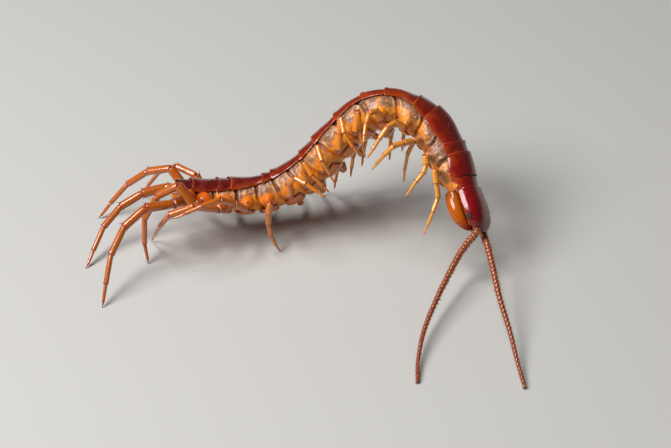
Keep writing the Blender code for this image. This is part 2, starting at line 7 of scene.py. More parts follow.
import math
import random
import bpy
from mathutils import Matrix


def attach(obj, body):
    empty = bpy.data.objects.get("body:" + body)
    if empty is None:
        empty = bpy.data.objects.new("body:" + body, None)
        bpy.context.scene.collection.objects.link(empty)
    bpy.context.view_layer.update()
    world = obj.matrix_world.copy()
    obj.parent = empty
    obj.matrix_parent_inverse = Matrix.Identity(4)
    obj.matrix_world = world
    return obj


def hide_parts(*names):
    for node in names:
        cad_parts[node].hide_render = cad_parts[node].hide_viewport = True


bl_info = {
    "name": "Stone Centipede",
    "version": (1, 0, 0),
    "blender": (4, 5, 0),
    "location": "View3D > Sidebar > Centipede",
    "description": "Dresses a still model of a stone centipede with cuticle, skin, bristles and spines",
    "category": "Object",
}

import bmesh
import bpy
from bpy.props import FloatProperty, FloatVectorProperty, IntProperty, PointerProperty
from mathutils import Vector, noise

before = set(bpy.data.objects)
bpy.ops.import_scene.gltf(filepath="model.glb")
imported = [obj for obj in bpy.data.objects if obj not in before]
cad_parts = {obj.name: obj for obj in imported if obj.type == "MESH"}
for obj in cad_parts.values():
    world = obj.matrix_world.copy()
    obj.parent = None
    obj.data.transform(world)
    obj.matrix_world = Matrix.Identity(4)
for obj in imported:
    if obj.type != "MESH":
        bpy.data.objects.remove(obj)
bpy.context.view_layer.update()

MM = 0.001
BODY = "root"

# The sides in the head's own frame, where the left is positive, and on the trunk, where an angle from the
# middle of the back is positive towards the right
SIDES = ((-1, "right"), (1, "left"))
TURNS = {"right": 1.0, "left": -1.0}

# The middle of the floor under the model, in the numbers below
ORIGIN = Vector((-2.79, -5.18, 0.0))

# The middle line of the body, from the tip of the tail to the front of the head
BODY_LINE = [
    (-12.7, 0.4, 4.8), (-9.4, 0.9, 4.0), (-5.5, 1.6, 3.7), (-2.4, 2.3, 5.0), (0.2, 3.2, 7.6),
    (2.5, 3.8, 9.6), (5.0, 3.8, 9.95), (7.2, 2.9, 9.1), (8.6, 1.1, 7.5), (9.8, -1.1, 5.8),
    (10.8, -3.5, 3.9),
]

# Half sizes of the trunk and how far it rolls over, at distances behind the head's front
TRUNK_AT = (3.2, 5.0, 8.5, 13.0, 18.0, 22.0, 26.0, 29.0, 31.0, 32.4)
HALF_WIDTH = (1.25, 1.58, 1.7, 1.82, 1.88, 1.82, 1.66, 1.36, 1.0, 0.45)
HALF_HEIGHT = (0.95, 1.3, 1.38, 1.36, 1.34, 1.36, 1.28, 1.05, 0.8, 0.4)
ROLL_AT = (0.0, 4.0, 8.0, 9.0, 10.0, 11.6, 14.0, 17.0, 21.0, 24.0, 28.0, 32.0)
ROLL = (-8.0, -10.0, -12.0, -3.0, 16.0, 42.0, 53.0, 55.0, 49.0, 41.0, 25.0, 16.0)
SECTION_POWER = 0.85
FLANK_DIP = 0.09
FLANK_REACH = 0.95
NECK_AT = 2.9
TAIL_TIP = 32.2

# How far ahead and behind the body's direction is read
AIM_REACH = 0.4

# The angles from the middle of the back to the rims of the plates above and below and to the flank's pouches,
# in degrees, and how far the soft skin sinks where it runs under a plate
PLATE_RIM_TURN = 50.0
BELLY_RIM_TURN = 168.0
POUCH_TURN = 84.0
UNDER_PLATE_SINK = 0.05

# The soft skin closes over END_LENGTH at each end, down to END_HOLE, and is a part open where the neck begins
END_LENGTH = 0.5
NECK_START = 0.25
END_HOLE = 0.02

# The back plates: front and rear edge behind the head's front, which ones have pointed corners,
# and how far each reaches down the side at its front and rear, in degrees
NECK_PLATE = (2.85, 3.86)
PLATES = [
    (4.05, 5.75), (5.75, 6.7), (6.7, 9.4), (9.4, 10.6), (10.6, 12.6), (12.6, 13.9), (13.9, 15.9),
    (15.9, 18.3), (18.3, 19.9), (19.9, 23.5), (23.5, 24.4), (24.4, 27.4), (27.4, 28.3),
    (28.3, 30.5), (30.5, 31.5),
]
POINTED_PLATES = (9, 11, 13)
PLATE_SPREAD = (60.0, 65.0)
FRONT_SPREADS = {0: (76.0, 82.0), 1: (88.0, 57.0), 2: (54.0, 57.0), 3: (56.0, 62.0)}
PLATE_CORNER = 0.6
PLATE_OVERLAP = 0.14
FRONT_OVERLAP = 0.04

# Where the rows and columns of points lie on a back plate, a belly plate and the head's shield. They crowd at
# the rims
PLATE_ROWS = (0.0, 0.07, 0.22, 0.38, 0.54, 0.7, 0.82, 0.9, 0.96, 0.985, 1.0)
PLATE_COLUMNS = (-1.0, -0.975, -0.93, -0.86, -0.75, -0.6, -0.42, -0.22, 0.0,
                 0.22, 0.42, 0.6, 0.75, 0.86, 0.93, 0.975, 1.0)
BELLY_STEPS = (-1.0, -0.94, -0.7, -0.35, 0.0, 0.35, 0.7, 0.94, 1.0)
SHIELD_ROWS = (0.0, 0.04, 0.12, 0.25, 0.45, 0.75, 1.1, 1.5, 1.9, 2.2, 2.45, 2.7, 2.95, 3.18, 3.36, 3.5,
               3.6, 3.66)
SHIELD_COLUMNS = 33

# Where the legs grow, how thick each is, and the angle that it leaves the body at
LEG_AT = (4.9, 6.5, 8.4, 10.6, 13.0, 15.2, 17.1, 19.2, 21.0, 22.6, 24.5, 26.2, 27.9, 29.6, 30.8)
LEG_RADIUS = (0.26, 0.27, 0.29, 0.3, 0.3, 0.3, 0.3, 0.3, 0.3, 0.3, 0.31, 0.33, 0.36, 0.42, 0.42)
COXA_TURN = (103, 104, 107, 112, 118, 118, 118, 118, 118, 116, 114, 110, 106, 102, 100)
COXA_AIM = (80, 80, 84, 100, 118, 118, 118, 118, 118, 116, 114, 110, 106, 102, 100)
COXA_REACH = 0.5
GAP = 0.3
ROOT_REACH = 0.5

# The small hard spot above each leg: how far ahead of it, its half length, its radius and its angle
SPOT_AHEAD = 0.4
SPOT_REACH = 0.16
SPOT_RADIUS = 0.14
SPOT_TURN = 80.0

# A leg's joints as shares of its length, and its thickness between them
LEG_JOINTS = (0.0, 0.08, 0.27, 0.46, 0.66, 0.85, 0.96, 1.0)
LEG_THICKNESS = (0.95, 0.93, 0.84, 0.72, 0.55, 0.38, 0.16)

# The spines at the ends of a leg's joints: which joint, how many and how long
SPINE_RINGS = ((2, 4, 0.34), (3, 4, 0.3), (4, 3, 0.24), (5, 2, 0.18))

# The outlines of a leg's base and of one joint, as shares of its length and of its radius
COXA_PROFILE = ((-0.9, 1.1), (-0.6, 1.46), (-0.3, 1.6), (0.0, 1.56), (0.3, 1.42), (0.6, 1.24), (0.85, 1.1),
                (1.0, 1.04), (1.05, 0.94), (1.0, 0.8))
PODOMERE_PROFILE = ((-0.02, 0.5), (-0.005, 0.74), (0.03, 0.87), (0.1, 0.93), (0.25, 0.97), (0.45, 1.0),
                    (0.65, 1.01), (0.82, 1.03), (0.93, 1.06), (0.98, 1.05), (1.003, 0.97), (1.0, 0.72))

# Each right leg's knee, ankle and foot. A foot at height 0 stands on the floor
RIGHT_LEGS = {
    1: [(7.8, -2.3, 6.2), (7.3, -3.1, 5.0), (6.7, -3.6, 3.4)],
    2: [(6.9, -1.0, 7.9), (6.2, -1.9, 7.4), (5.3, -2.3, 6.1)],
    3: [(5.5, 0.0, 9.6), (4.3, -0.8, 9.7), (2.7, -0.9, 7.6)],
    4: [(4.7, 0.7, 10.9), (3.9, -0.1, 11.0), (2.4, -1.2, 8.9)],
    5: [(2.8, 1.0, 11.9), (2.3, -0.2, 11.5), (2.1, -1.4, 10.3)],
    6: [(1.8, 1.8, 11.9), (1.7, 1.0, 10.8), (2.3, 0.7, 7.6)],
    7: [(0.4, 1.2, 11.0), (0.7, 0.1, 10.2), (1.9, -0.3, 8.4)],
    8: [(-1.4, 0.5, 9.1), (-1.1, -0.7, 8.5), (0.0, -0.9, 6.3)],
    9: [(-2.5, -0.1, 7.9), (-2.0, -0.9, 7.4), (-0.4, -1.1, 5.6)],
    10: [(-3.5, -0.6, 6.7), (-2.5, -1.3, 6.8), (-0.7, -2.0, 5.8)],
    11: [(-5.2, -1.1, 3.2), (-5.0, -1.2, 1.6), (-4.3, -1.1, 0.0)],
    12: [(-8.7, -2.6, 6.1), (-10.5, -3.7, 6.0), (-12.4, -4.1, 5.3)],
    13: [(-10.3, -2.4, 5.4), (-12.7, -2.8, 4.75), (-14.5, 0.3, 0.0)],
    14: [(-11.6, -1.35, 6.3), (-13.1, -1.0, 6.0), (-14.8, -1.6, 3.2), (-14.5, -2.7, 0.0)],
    15: [(-14.3, -2.5, 5.3), (-15.7, -3.6, 4.8), (-16.9, -5.7, 3.4), (-17.6, -8.2, 0.0)],
}

# The same of each left leg
LEFT_LEGS = {
    1: [(10.8, 3.0, 4.6), (10.2, 3.4, 2.5), (9.6, 3.2, 0.0)],
    2: [(9.9, 4.6, 5.9), (9.4, 5.1, 4.2), (9.0, 4.6, 2.6)],
    3: [(6.5, 4.8, 7.0), (5.6, 4.4, 5.2), (5.4, 4.0, 3.0)],
    4: [(5.8, 6.6, 7.6), (5.5, 7.1, 6.2), (5.3, 6.6, 4.2)],
    5: [(4.5, 6.2, 7.0), (4.4, 6.8, 5.5), (4.3, 6.2, 3.6)],
    6: [(2.6, 6.3, 6.1), (2.3, 6.8, 4.7), (2.1, 6.2, 3.0)],
    7: [(1.7, 5.9, 5.2), (1.4, 6.4, 3.9), (1.2, 5.9, 2.2)],
    8: [(0.4, 5.6, 3.9), (0.1, 6.2, 2.5), (-0.1, 6.0, 1.0)],
    9: [(-1.1, 5.0, 2.8), (-1.2, 6.0, 1.8), (-1.2, 6.5, 0.0)],
    10: [(-2.9, 5.0, 2.4), (-2.9, 6.0, 1.8), (-2.9, 6.5, 0.0)],
    11: [(-5.1, 4.5, 2.0), (-5.1, 5.5, 1.5), (-5.1, 6.1, 0.0)],
    12: [(-8.2, 4.0, 2.6), (-8.9, 5.2, 2.0), (-9.4, 6.3, 0.0)],
    13: [(-11.4, 4.0, 4.2), (-13.7, 5.4, 3.4), (-15.8, 6.5, 0.0)],
    14: [(-12.4, 3.3, 4.6), (-14.2, 4.0, 4.4), (-16.7, 4.3, 2.5), (-18.9, 3.3, 0.0)],
    15: [(-14.0, 2.0, 3.9), (-16.0, 1.0, 3.5), (-17.8, -0.4, 2.4), (-19.3, -3.3, 0.0)],
}

LEGS = {"right": RIGHT_LEGS, "left": LEFT_LEGS}

# Each antenna after its socket, hanging free with its tip on the floor
SOCKET_REACH = 0.25
BEAD_NECK = 0.6
BEAD_POINTS = 12.0
RIGHT_ANTENNA = [
    (9.81, -4.42, 2.95), (8.99, -5.92, 2.5), (7.67, -8.95, 1.75), (6.57, -12.01, 1.05),
    (6.03, -14.81, 0.5), (5.89, -17.06, 0.16),
]
LEFT_ANTENNA = [
    (11.54, -4.63, 3.2), (11.77, -6.19, 2.85), (12.22, -9.46, 2.0), (12.8, -12.3, 1.2),
    (13.28, -15.55, 0.5), (13.61, -17.67, 0.16),
]
ANTENNAE = {"right": RIGHT_ANTENNA, "left": LEFT_ANTENNA}

# The head in its own frame: forward, to the left and towards the back, from the head's rear
HEAD_MIDDLE = 1.9
HEAD_REAR = 3.35
HEAD_RISE = 0.42
SHIELD_REAR = 0.5
SHIELD_WALL = 0.08
SHIELD_TURN = 100.0
HEAD_AT = (0.0, 0.4, 1.05, 1.75, 2.45, 3.05, 3.45, 3.7)
HEAD_HALF_WIDTH = (1.26, 1.42, 1.5, 1.54, 1.5, 1.24, 0.88, 0.42)
HEAD_TOP = (0.6, 0.7, 0.74, 0.75, 0.71, 0.58, 0.42, 0.22)
HEAD_BOTTOM = (0.5, 0.5, 0.44, 0.42, 0.42, 0.42, 0.36, 0.2)
FORCIPULE_LINE = [
    (0.12, 0.9, -0.74), (0.74, 1.06, -0.76), (1.46, 1.1, -0.78), (2.16, 1.0, -0.76),
    (2.7, 0.78, -0.66), (3.06, 0.5, -0.52), (3.22, 0.2, -0.32),
]
FORCIPULE_RADIUS = (0.38, 0.43, 0.43, 0.38, 0.3, 0.2, 0.05)
FORCIPULE_DEPTH = 1.3

# The mouth of an antenna's socket and a place further along the way that the antenna leaves it
SOCKET_PLACES = [(3.25, 0.58, 0.3), (3.9, 0.8, 0.0)]

# A patch of simple eyes: its middle, a point outside it and one ahead of it, then how many lenses stand in
# each row and how far the row is shifted forward
EYE_PLACES = [(2.5, 1.7, 0.34), (2.6, 2.1, 0.38), (3.2, 1.36, 0.34)]
EYE_ROWS = ((5, 0.0), (6, 0.035), (5, 0.0), (4, 0.035))
EYE_SPACING = (0.088, 0.08)
EYE_BULGE = 0.35
LENS_RADIUS = 0.048
LARGE_LENS_RADIUS = 0.07
LENS_SMOOTHNESS = 3

# The toothed plate between the claws, as rings: where, half width, underside and top. Then how dark each is
# and how far its teeth stand from the middle
COXOSTERNUM = ((-0.14, 0.5, -1.1, -0.2), (-0.06, 0.66, -1.22, -0.1), (0.1, 0.68, -1.3, 0.1),
               (0.35, 0.66, -1.34, 0.2), (0.65, 0.68, -1.34, 0.2), (0.95, 0.7, -1.3, 0.15),
               (1.15, 0.66, -1.24, -0.3), (1.24, 0.58, -1.16, -0.6), (1.26, 0.46, -1.08, -0.75))
COXOSTERNUM_TONE = (0.2, 0.2, 0.2, 0.2, 0.2, 0.2, 0.5, 0.8, 1.0)
TEETH_AT = (0.13, 0.36)

# The palps and lobes of the mouth and the hard strips of the neck, for the left side
PALP_LINE = [(0.9, 0.6, -0.3), (1.4, 0.72, -0.42), (1.9, 0.62, -0.5), (2.4, 0.42, -0.52),
             (2.75, 0.26, -0.44)]
PALP_RADIUS = (0.17, 0.18, 0.16, 0.12, 0.05)
LOBE_LINE = [(1.5, 0.24, -0.2), (2.1, 0.22, -0.34), (2.6, 0.14, -0.3)]
NECK_LINE = [(-0.4, 1.2, -0.1), (-0.2, 1.34, 0.06), (0.02, 1.36, 0.1)]
STRUT_LINE = [(-0.3, 0.8, -0.5), (-0.05, 1.12, -0.34), (0.12, 1.3, -0.24)]

# Bristles and spines, the shortest and longest bristle as shares of the length asked for
BRISTLE_SEED = 7
BRISTLE_LENGTHS = (0.55, 1.2)
SPINE_SEED = 15
SPINE_SLENDERNESS = 0.09

# The studio: each light's place, size and watts, what they look at, and the colours of the air and the floor
LIGHTS = (("softbox", (-138, -80, 166), (130, 110), 0.66), ("top_light", (-60, 10, 240), (80, 60), 0.26))
LIGHT_AIM = (4.0, 0.0, 6.0)
AIR_COLOUR = "#D5D8DC"
AIR_STRENGTH = 0.13
FLOOR_COLOUR = "#B4B2AE"
FLOOR_SIZE = 1600.0

# The camera, which looks down on the model as the photo does. PIXEL is what one pixel of the photo shows
CAMERA_DOWN = math.radians(36.0)
CAMERA_DISTANCE = 170.0
CAMERA_AIM = Vector((0.0, 0.0, 1.9))
PIXEL = 0.078
PHOTO_WIDTH = 671
SENSOR = 36.0


def linear(code):
    """An sRGB hex colour as linear red, green and blue."""
    parts = [int(code[i:i + 2], 16) / 255 for i in (1, 3, 5)]
    return tuple(p / 12.92 if p <= 0.04045 else ((p + 0.055) / 1.055) ** 2.4 for p in parts)


def blend(value, stations, sizes):
    """Read a size between stations along a straight line."""
    if value <= stations[0]:
        return sizes[0]
    for i in range(1, len(stations)):
        if value <= stations[i]:
            share = (value - stations[i - 1]) / (stations[i] - stations[i - 1])
            return sizes[i - 1] + share * (sizes[i] - sizes[i - 1])
    return sizes[-1]


def eased(value, stations, sizes, reach=0.8):
    """Read a size between stations with the corners at the stations rounded off."""
    offsets = (-1.0, -0.5, 0.0, 0.5, 1.0)
    return sum(blend(value + k * reach, stations, sizes) for k in offsets) / len(offsets)


def rounded(value, power):
    """A sine or cosine with its size raised to a power, which squares a section's corners."""
    return math.copysign(abs(value) ** power, value)


def ramped(value, start, length):
    """A share that grows from 0 at a start to 1 over a length."""
    return min(1.0, max(0.0, (value - start) / length))


def hump(distance, reach):
    """A smooth bump that is 1 in its middle and fades out over its reach."""
    return math.exp(-(distance / reach) ** 2)


def smooth_line(points, steps=24):
    """A smooth line through the points, as many short steps."""
    nodes = [Vector(p) for p in points]
    nodes = [2 * nodes[0] - nodes[1]] + nodes + [2 * nodes[-1] - nodes[-2]]
    line = []
    for i in range(1, len(nodes) - 2):
        a, b, c, d = nodes[i - 1:i + 3]
        for k in range(steps):
            t = k / steps
            line.append(0.5 * (2 * b + (c - a) * t + (2 * a - 5 * b + 4 * c - d) * t * t
                               + (3 * b - a - 3 * c + d) * t ** 3))
    line.append(nodes[-2])
    return line


def smooth_sizes(sizes, steps):
    """Sizes that change smoothly along a line of as many short steps."""
    return [point.x for point in smooth_line([(size, 0, 0) for size in sizes], steps)]


def line_lengths(line):
    """The distance along a line to each of its points."""
    lengths = [0.0]
    for a, b in zip(line, line[1:]):
        lengths.append(lengths[-1] + (b - a).length)
    return lengths


def point_along(line, lengths, distance):
    """The point at a distance along a line."""
    distance = min(max(distance, 0.0), lengths[-1])
    i = 1
    while i < len(lengths) - 1 and lengths[i] < distance:
        i += 1
    share = (distance - lengths[i - 1]) / (lengths[i] - lengths[i - 1])
    return line[i - 1].lerp(line[i], share)


BODY_PATH = smooth_line(list(reversed(BODY_LINE)))
BODY_LENGTHS = line_lengths(BODY_PATH)


def body_frame(behind):
    """Centre, forward, right and back directions of the body, behind the head's front."""
    centre = point_along(BODY_PATH, BODY_LENGTHS, behind)
    ahead = point_along(BODY_PATH, BODY_LENGTHS, behind - AIM_REACH)
    after = point_along(BODY_PATH, BODY_LENGTHS, behind + AIM_REACH)
    forward = (ahead - after).normalized()
    roll = math.radians(eased(behind, ROLL_AT, ROLL))
    right = Vector((0.0, -math.cos(roll), math.sin(roll)))
    right = (right - right.dot(forward) * forward).normalized()
    return centre, forward, right, right.cross(forward)


def skin_point(behind, angle, lift=0.0):
    """A point on the trunk, at an angle from the middle of the back towards the right side."""
    centre, _, right, up = body_frame(behind)
    across = rounded(math.sin(angle), SECTION_POWER)
    over = rounded(math.cos(angle), SECTION_POWER)
    nearest = min(abs(behind - at) for at in LEG_AT)
    dip = FLANK_DIP * min(nearest / FLANK_REACH, 1.0) ** 2 * abs(across)
    width = eased(behind, TRUNK_AT, HALF_WIDTH) * (1.0 - dip) + lift
    height = eased(behind, TRUNK_AT, HALF_HEIGHT) + lift
    return centre + right * across * width + up * over * height


def head_place(forward, left, up):
    """A place given in the head's own frame."""
    centre, ahead, right, back = body_frame(HEAD_MIDDLE)
    rear = centre - ahead * (HEAD_REAR - HEAD_MIDDLE)
    return rear + ahead * forward - right * left + back * up


def head_line(places, side):
    """Places in the head's own frame, given for the left side. A side of -1 mirrors them to the right."""
    return [head_place(x, side * y, z) for x, y, z in places]


def coxa_frame(side, number):
    """Where a leg's first joint stands on the trunk, and the direction that it points in."""
    at = LEG_AT[number - 1]
    turn = TURNS[side]
    _, forward, right, up = body_frame(at)
    start = skin_point(at, turn * math.radians(COXA_TURN[number - 1]))
    aim = math.radians(COXA_AIM[number - 1])
    direction = right * turn * math.sin(aim) + up * math.cos(aim)
    backward = blend(number, (1, 3, 11, 15), (0.1, 0.0, 0.0, 0.9))
    return start, (direction - forward * backward).normalized()


def leg_stations(side, number):
    """The places of a leg's joints, from the end of its coxa to the tip of its claw."""
    start, direction = coxa_frame(side, number)
    root = start + direction * (COXA_REACH + GAP)
    stops = [Vector(p) for p in LEGS[side][number]]
    line = smooth_line([root, root + direction * ROOT_REACH] + stops)
    lengths = line_lengths(line)
    places = [point_along(line, lengths, share * lengths[-1]) for share in LEG_JOINTS]
    places[0] = start + direction * COXA_REACH * 0.8
    return places


class Shell:
    """Points, faces and two marks per point of one piece that is put together from many forms."""

    def __init__(self):
        self.points = []
        self.faces = []
        self.tone = []
        self.place = []

    def add_points(self, points, tone, place):
        """Add points, with each mark one for all or a list of one for each. Returns the first's index."""
        first = len(self.points)
        self.points += points
        for marks, value in ((self.tone, tone), (self.place, place)):
            marks.extend(value if isinstance(value, list) else [value] * len(points))
        return first

    def rings(self, rows, tones, places, poles=(0.0, 0.0), ends=None):
        """A closed form through rings of points. Each end is drawn to a pole, pushed out by a share."""
        starts = [self.add_points(row, t, p) for row, t, p in zip(rows, tones, places)]
        count = len(rows[0])
        around = [(i, (i + 1) % count) for i in range(count)]
        for low, high in zip(starts, starts[1:]):
            self.faces += [(low + i, low + j, high + j, high + i) for i, j in around]
        for end, inner, push in ((0, 1, poles[0]), (-1, -2, poles[1])):
            middle = sum(rows[end], Vector()) / count
            outward = middle - sum(rows[inner], Vector()) / count
            size = (rows[end][0] - middle).length
            if outward.length > 0.0:
                middle += outward.normalized() * push * size
            pole = self.add_points([middle], *(ends or (tones[end], places[end])))
            start = starts[end]
            for i, j in around:
                self.faces.append((start + i, start + j, pole) if end else (start + j, start + i, pole))

    def turned(self, line, radii, tones, place, sides=16, flat=1.0, up=None, poles=(0.0, 0.0)):
        """A round form along a line of points, squeezed along its up direction by flat."""
        side = (up or Vector((0.0, 0.0, 1.0))).cross(line[-1] - line[0])
        if side.length < 1e-6:
            side = Vector((1.0, 0.0, 0.0))
        rows = []
        for k, (point, radius) in enumerate(zip(line, radii)):
            aim = (line[min(k + 1, len(line) - 1)] - line[max(k - 1, 0)]).normalized()
            side = (side - side.dot(aim) * aim).normalized()
            over = aim.cross(side)
            angles = [2 * math.pi * i / sides for i in range(sides)]
            rows.append([point + (side * math.cos(a) + over * math.sin(a) * flat) * radius for a in angles])
        self.rings(rows, tones, [place] * len(rows), poles)

    def sheet(self, grid):
        """An open sheet through rows of spots, each a point with its tone and its place."""
        columns = len(grid[0])
        starts = []
        for row in grid:
            points, tones, places = [list(values) for values in zip(*row)]
            starts.append(self.add_points(points, tones, places))
        for start in starts[:-1]:
            for a in range(start, start + columns - 1):
                self.faces.append((a, a + 1, a + columns + 1, a + columns))


def linked(name, data):
    """A new object in the scene with the data given."""
    piece = bpy.data.objects.new(name, data)
    bpy.context.scene.collection.objects.link(piece)
    return piece


def raw_object(name, shell):
    """A mesh object from a shell, moved to the model's origin and turned to metres."""
    mesh = bpy.data.meshes.new(name)
    mesh.from_pydata([(p - ORIGIN) * MM for p in shell.points], [], shell.faces)
    for label, values in (("tone", shell.tone), ("place", shell.place)):
        mesh.attributes.new(label, "FLOAT", "POINT").data.foreach_set("value", values)
    return linked(name, mesh)


def plain_mesh(piece):
    """The mesh that a piece and its modifiers make."""
    graph = bpy.context.evaluated_depsgraph_get()
    return bpy.data.meshes.new_from_object(piece.evaluated_get(graph))


def settle(piece):
    """Turn a piece with modifiers into a plain mesh."""
    mesh = plain_mesh(piece)
    piece.modifiers.clear()
    old = piece.data
    piece.data = mesh
    bpy.data.meshes.remove(old)
    mesh.name = piece.name


def point_outwards(piece):
    """Recalculate a closed piece's normals."""
    bm = bmesh.new()
    bm.from_mesh(piece.data)
    bmesh.ops.recalc_face_normals(bm, faces=bm.faces)
    bm.to_mesh(piece.data)
    bm.free()


def finish_piece(piece, material, slot, *nodes):
    """Give a piece its material, ride it on the body and let it stand for the nodes it replaces."""
    piece.data.materials.clear()
    piece.data.materials.append(material)
    piece.data.shade_smooth()
    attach(piece, BODY)
    if nodes:
        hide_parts(*nodes)
    return piece


def closed_piece(name, shell, material, slot, *nodes):
    """Make a finished piece of closed forms."""
    piece = raw_object(name, shell)
    point_outwards(piece)
    return finish_piece(piece, material, slot, *nodes)


def plain(value):
    """A value as a socket takes it: a hex colour becomes linear red, green and blue with full opacity."""
    return (*linear(value), 1.0) if isinstance(value, str) and value.startswith("#") else value


def add(tree, kind, inputs=None, **settings):
    """Add a node with its settings, and give each input a value, a hex colour or a link."""
    node = tree.nodes.new(kind)
    for name, value in settings.items():
        setattr(node, name, value)
    for name, value in (inputs or {}).items():
        if isinstance(value, bpy.types.NodeSocket):
            tree.links.new(value, node.inputs[name])
        else:
            node.inputs[name].default_value = plain(value)
    return node


def per_mm(size):
    """The scale of a texture on Object coordinates, which are in metres, for a real size in millimetres."""
    return 1.0 / (size * MM)


def new_material(name, **sockets):
    """A Principled material with constants on the shader's sockets. Returns it, its tree and its shader."""
    material = bpy.data.materials.new(name)
    material.use_nodes = True
    shader = material.node_tree.nodes["Principled BSDF"]
    for socket, value in sockets.items():
        shader.inputs[socket.replace("_", " ")].default_value = plain(value)
    return material, material.node_tree, shader


def coloured_by(tree, name, stops):
    """A colour read from one of a mesh's own marks, tone or place, by (position, hex colour) stops."""
    mark = add(tree, "ShaderNodeAttribute", attribute_name=name)
    node = add(tree, "ShaderNodeValToRGB", {"Fac": mark.outputs["Fac"]})
    elements = node.color_ramp.elements
    while len(elements) < len(stops):
        elements.new(0.5)
    for element, (position, code) in zip(elements, stops):
        element.position = position
        element.color = plain(code)
    return node.outputs["Color"]


def tinted(tree, colour, tint, value, low, high, most, mode="MIX"):
    """A colour that takes on a tint, up to a share of most, as a value grows from low to high."""
    share = add(tree, "ShaderNodeMapRange",
                {"Value": value, "From Min": low, "From Max": high, "To Max": most})
    mix = add(tree, "ShaderNodeMix", {0: share.outputs["Result"], 6: colour, 7: tint}, data_type="RGBA",
              blend_type=mode)
    return mix.outputs[2]


def surface_noise(tree, size, detail=3.0):
    """Noise of a real size in millimetres over the surface."""
    place = add(tree, "ShaderNodeTexCoord").outputs["Object"]
    node = add(tree, "ShaderNodeTexNoise", {"Vector": place, "Scale": per_mm(size), "Detail": detail})
    return node.outputs["Fac"]


def pits(tree, size):
    """Small round pits of a real spacing in millimetres."""
    place = add(tree, "ShaderNodeTexCoord").outputs["Object"]
    cells = add(tree, "ShaderNodeTexVoronoi", {"Vector": place, "Scale": per_mm(size)})
    depth = add(tree, "ShaderNodeMapRange",
                {"Value": cells.outputs["Distance"], "From Min": 0.05, "From Max": 0.3})
    return depth.outputs["Result"]


def wear(tree, shader, size, smooth, rough):
    """Let a shader's roughness wander between two values, in patches of a real size in millimetres."""
    wander = add(tree, "ShaderNodeMapRange", {"Value": surface_noise(tree, size), "From Min": 0.3,
                                              "From Max": 0.7, "To Min": smooth, "To Max": rough})
    tree.links.new(wander.outputs["Result"], shader.inputs["Roughness"])


def relief(tree, shader, *layers):
    """Bumps on the surface, each from a height, its depth in millimetres and its strength."""
    normal = None
    for height, depth, strength in layers:
        bump = add(tree, "ShaderNodeBump", {"Height": height, "Distance": depth * MM, "Strength": strength})
        if normal:
            tree.links.new(normal, bump.inputs["Normal"])
        normal = bump.outputs["Normal"]
    tree.links.new(normal, shader.inputs["Normal"])


def back_plate_material(colours):
    """Hard tanned cuticle, laid down in smooth layers: a dark glossy red-brown with lighter margins."""
    material, tree, shader = new_material("tanned_back_cuticle", IOR=1.5, Specular_IOR_Level=0.4,
                                          Coat_Weight=0.4, Coat_Roughness=0.05)
    colour = coloured_by(tree, "place", [
        (0.0, "#780810"), (0.15, "#760A0A"), (0.18, "#7A1A08"), (0.26, "#701206"), (0.36, "#762006"),
        (0.6, "#641408"), (0.8, "#5A0E0A"), (1.0, "#500A0A")])
    tone = add(tree, "ShaderNodeAttribute", attribute_name="tone").outputs["Fac"]
    edge = add(tree, "ShaderNodeMath", {0: tone, 1: surface_noise(tree, 0.7, 4.0)}, operation="ADD")
    colour = tinted(tree, colour, (*colours.margin, 1.0), edge.outputs[0], 0.62, 1.45, 1.0)
    colour = tinted(tree, colour, "#C8803A", tone, 0.8, 1.0, 0.6)
    colour = tinted(tree, colour, "#A83C10", surface_noise(tree, 0.5, 4.0), 0.3, 0.75, 0.5, "SOFT_LIGHT")
    tree.links.new(colour, shader.inputs["Base Color"])
    wear(tree, shader, 0.35, 0.14, 0.26)
    relief(tree, shader, (surface_noise(tree, 0.6), 0.06, 0.25), (pits(tree, 0.24), 0.012, 0.35))
    return material


def head_material():
    """Tanned head cuticle: the darkest and smoothest, a clear maroon with fine pits."""
    material, tree, shader = new_material("tanned_head_cuticle", IOR=1.5, Specular_IOR_Level=0.4,
                                          Coat_Weight=0.25, Coat_Roughness=0.06)
    colour = coloured_by(tree, "place", [(0.0, "#7C0E0C"), (0.5, "#800A10"), (1.0, "#640514")])
    tone = add(tree, "ShaderNodeAttribute", attribute_name="tone").outputs["Fac"]
    colour = tinted(tree, colour, "#A83A10", tone, 0.5, 1.0, 0.7)
    colour = tinted(tree, colour, "#C03014", surface_noise(tree, 0.7, 4.0), 0.35, 0.75, 0.4, "SOFT_LIGHT")
    tree.links.new(colour, shader.inputs["Base Color"])
    wear(tree, shader, 0.3, 0.12, 0.24)
    relief(tree, shader, (surface_noise(tree, 0.6, 2.0), 0.05, 0.25), (pits(tree, 0.2), 0.012, 0.3))
    return material


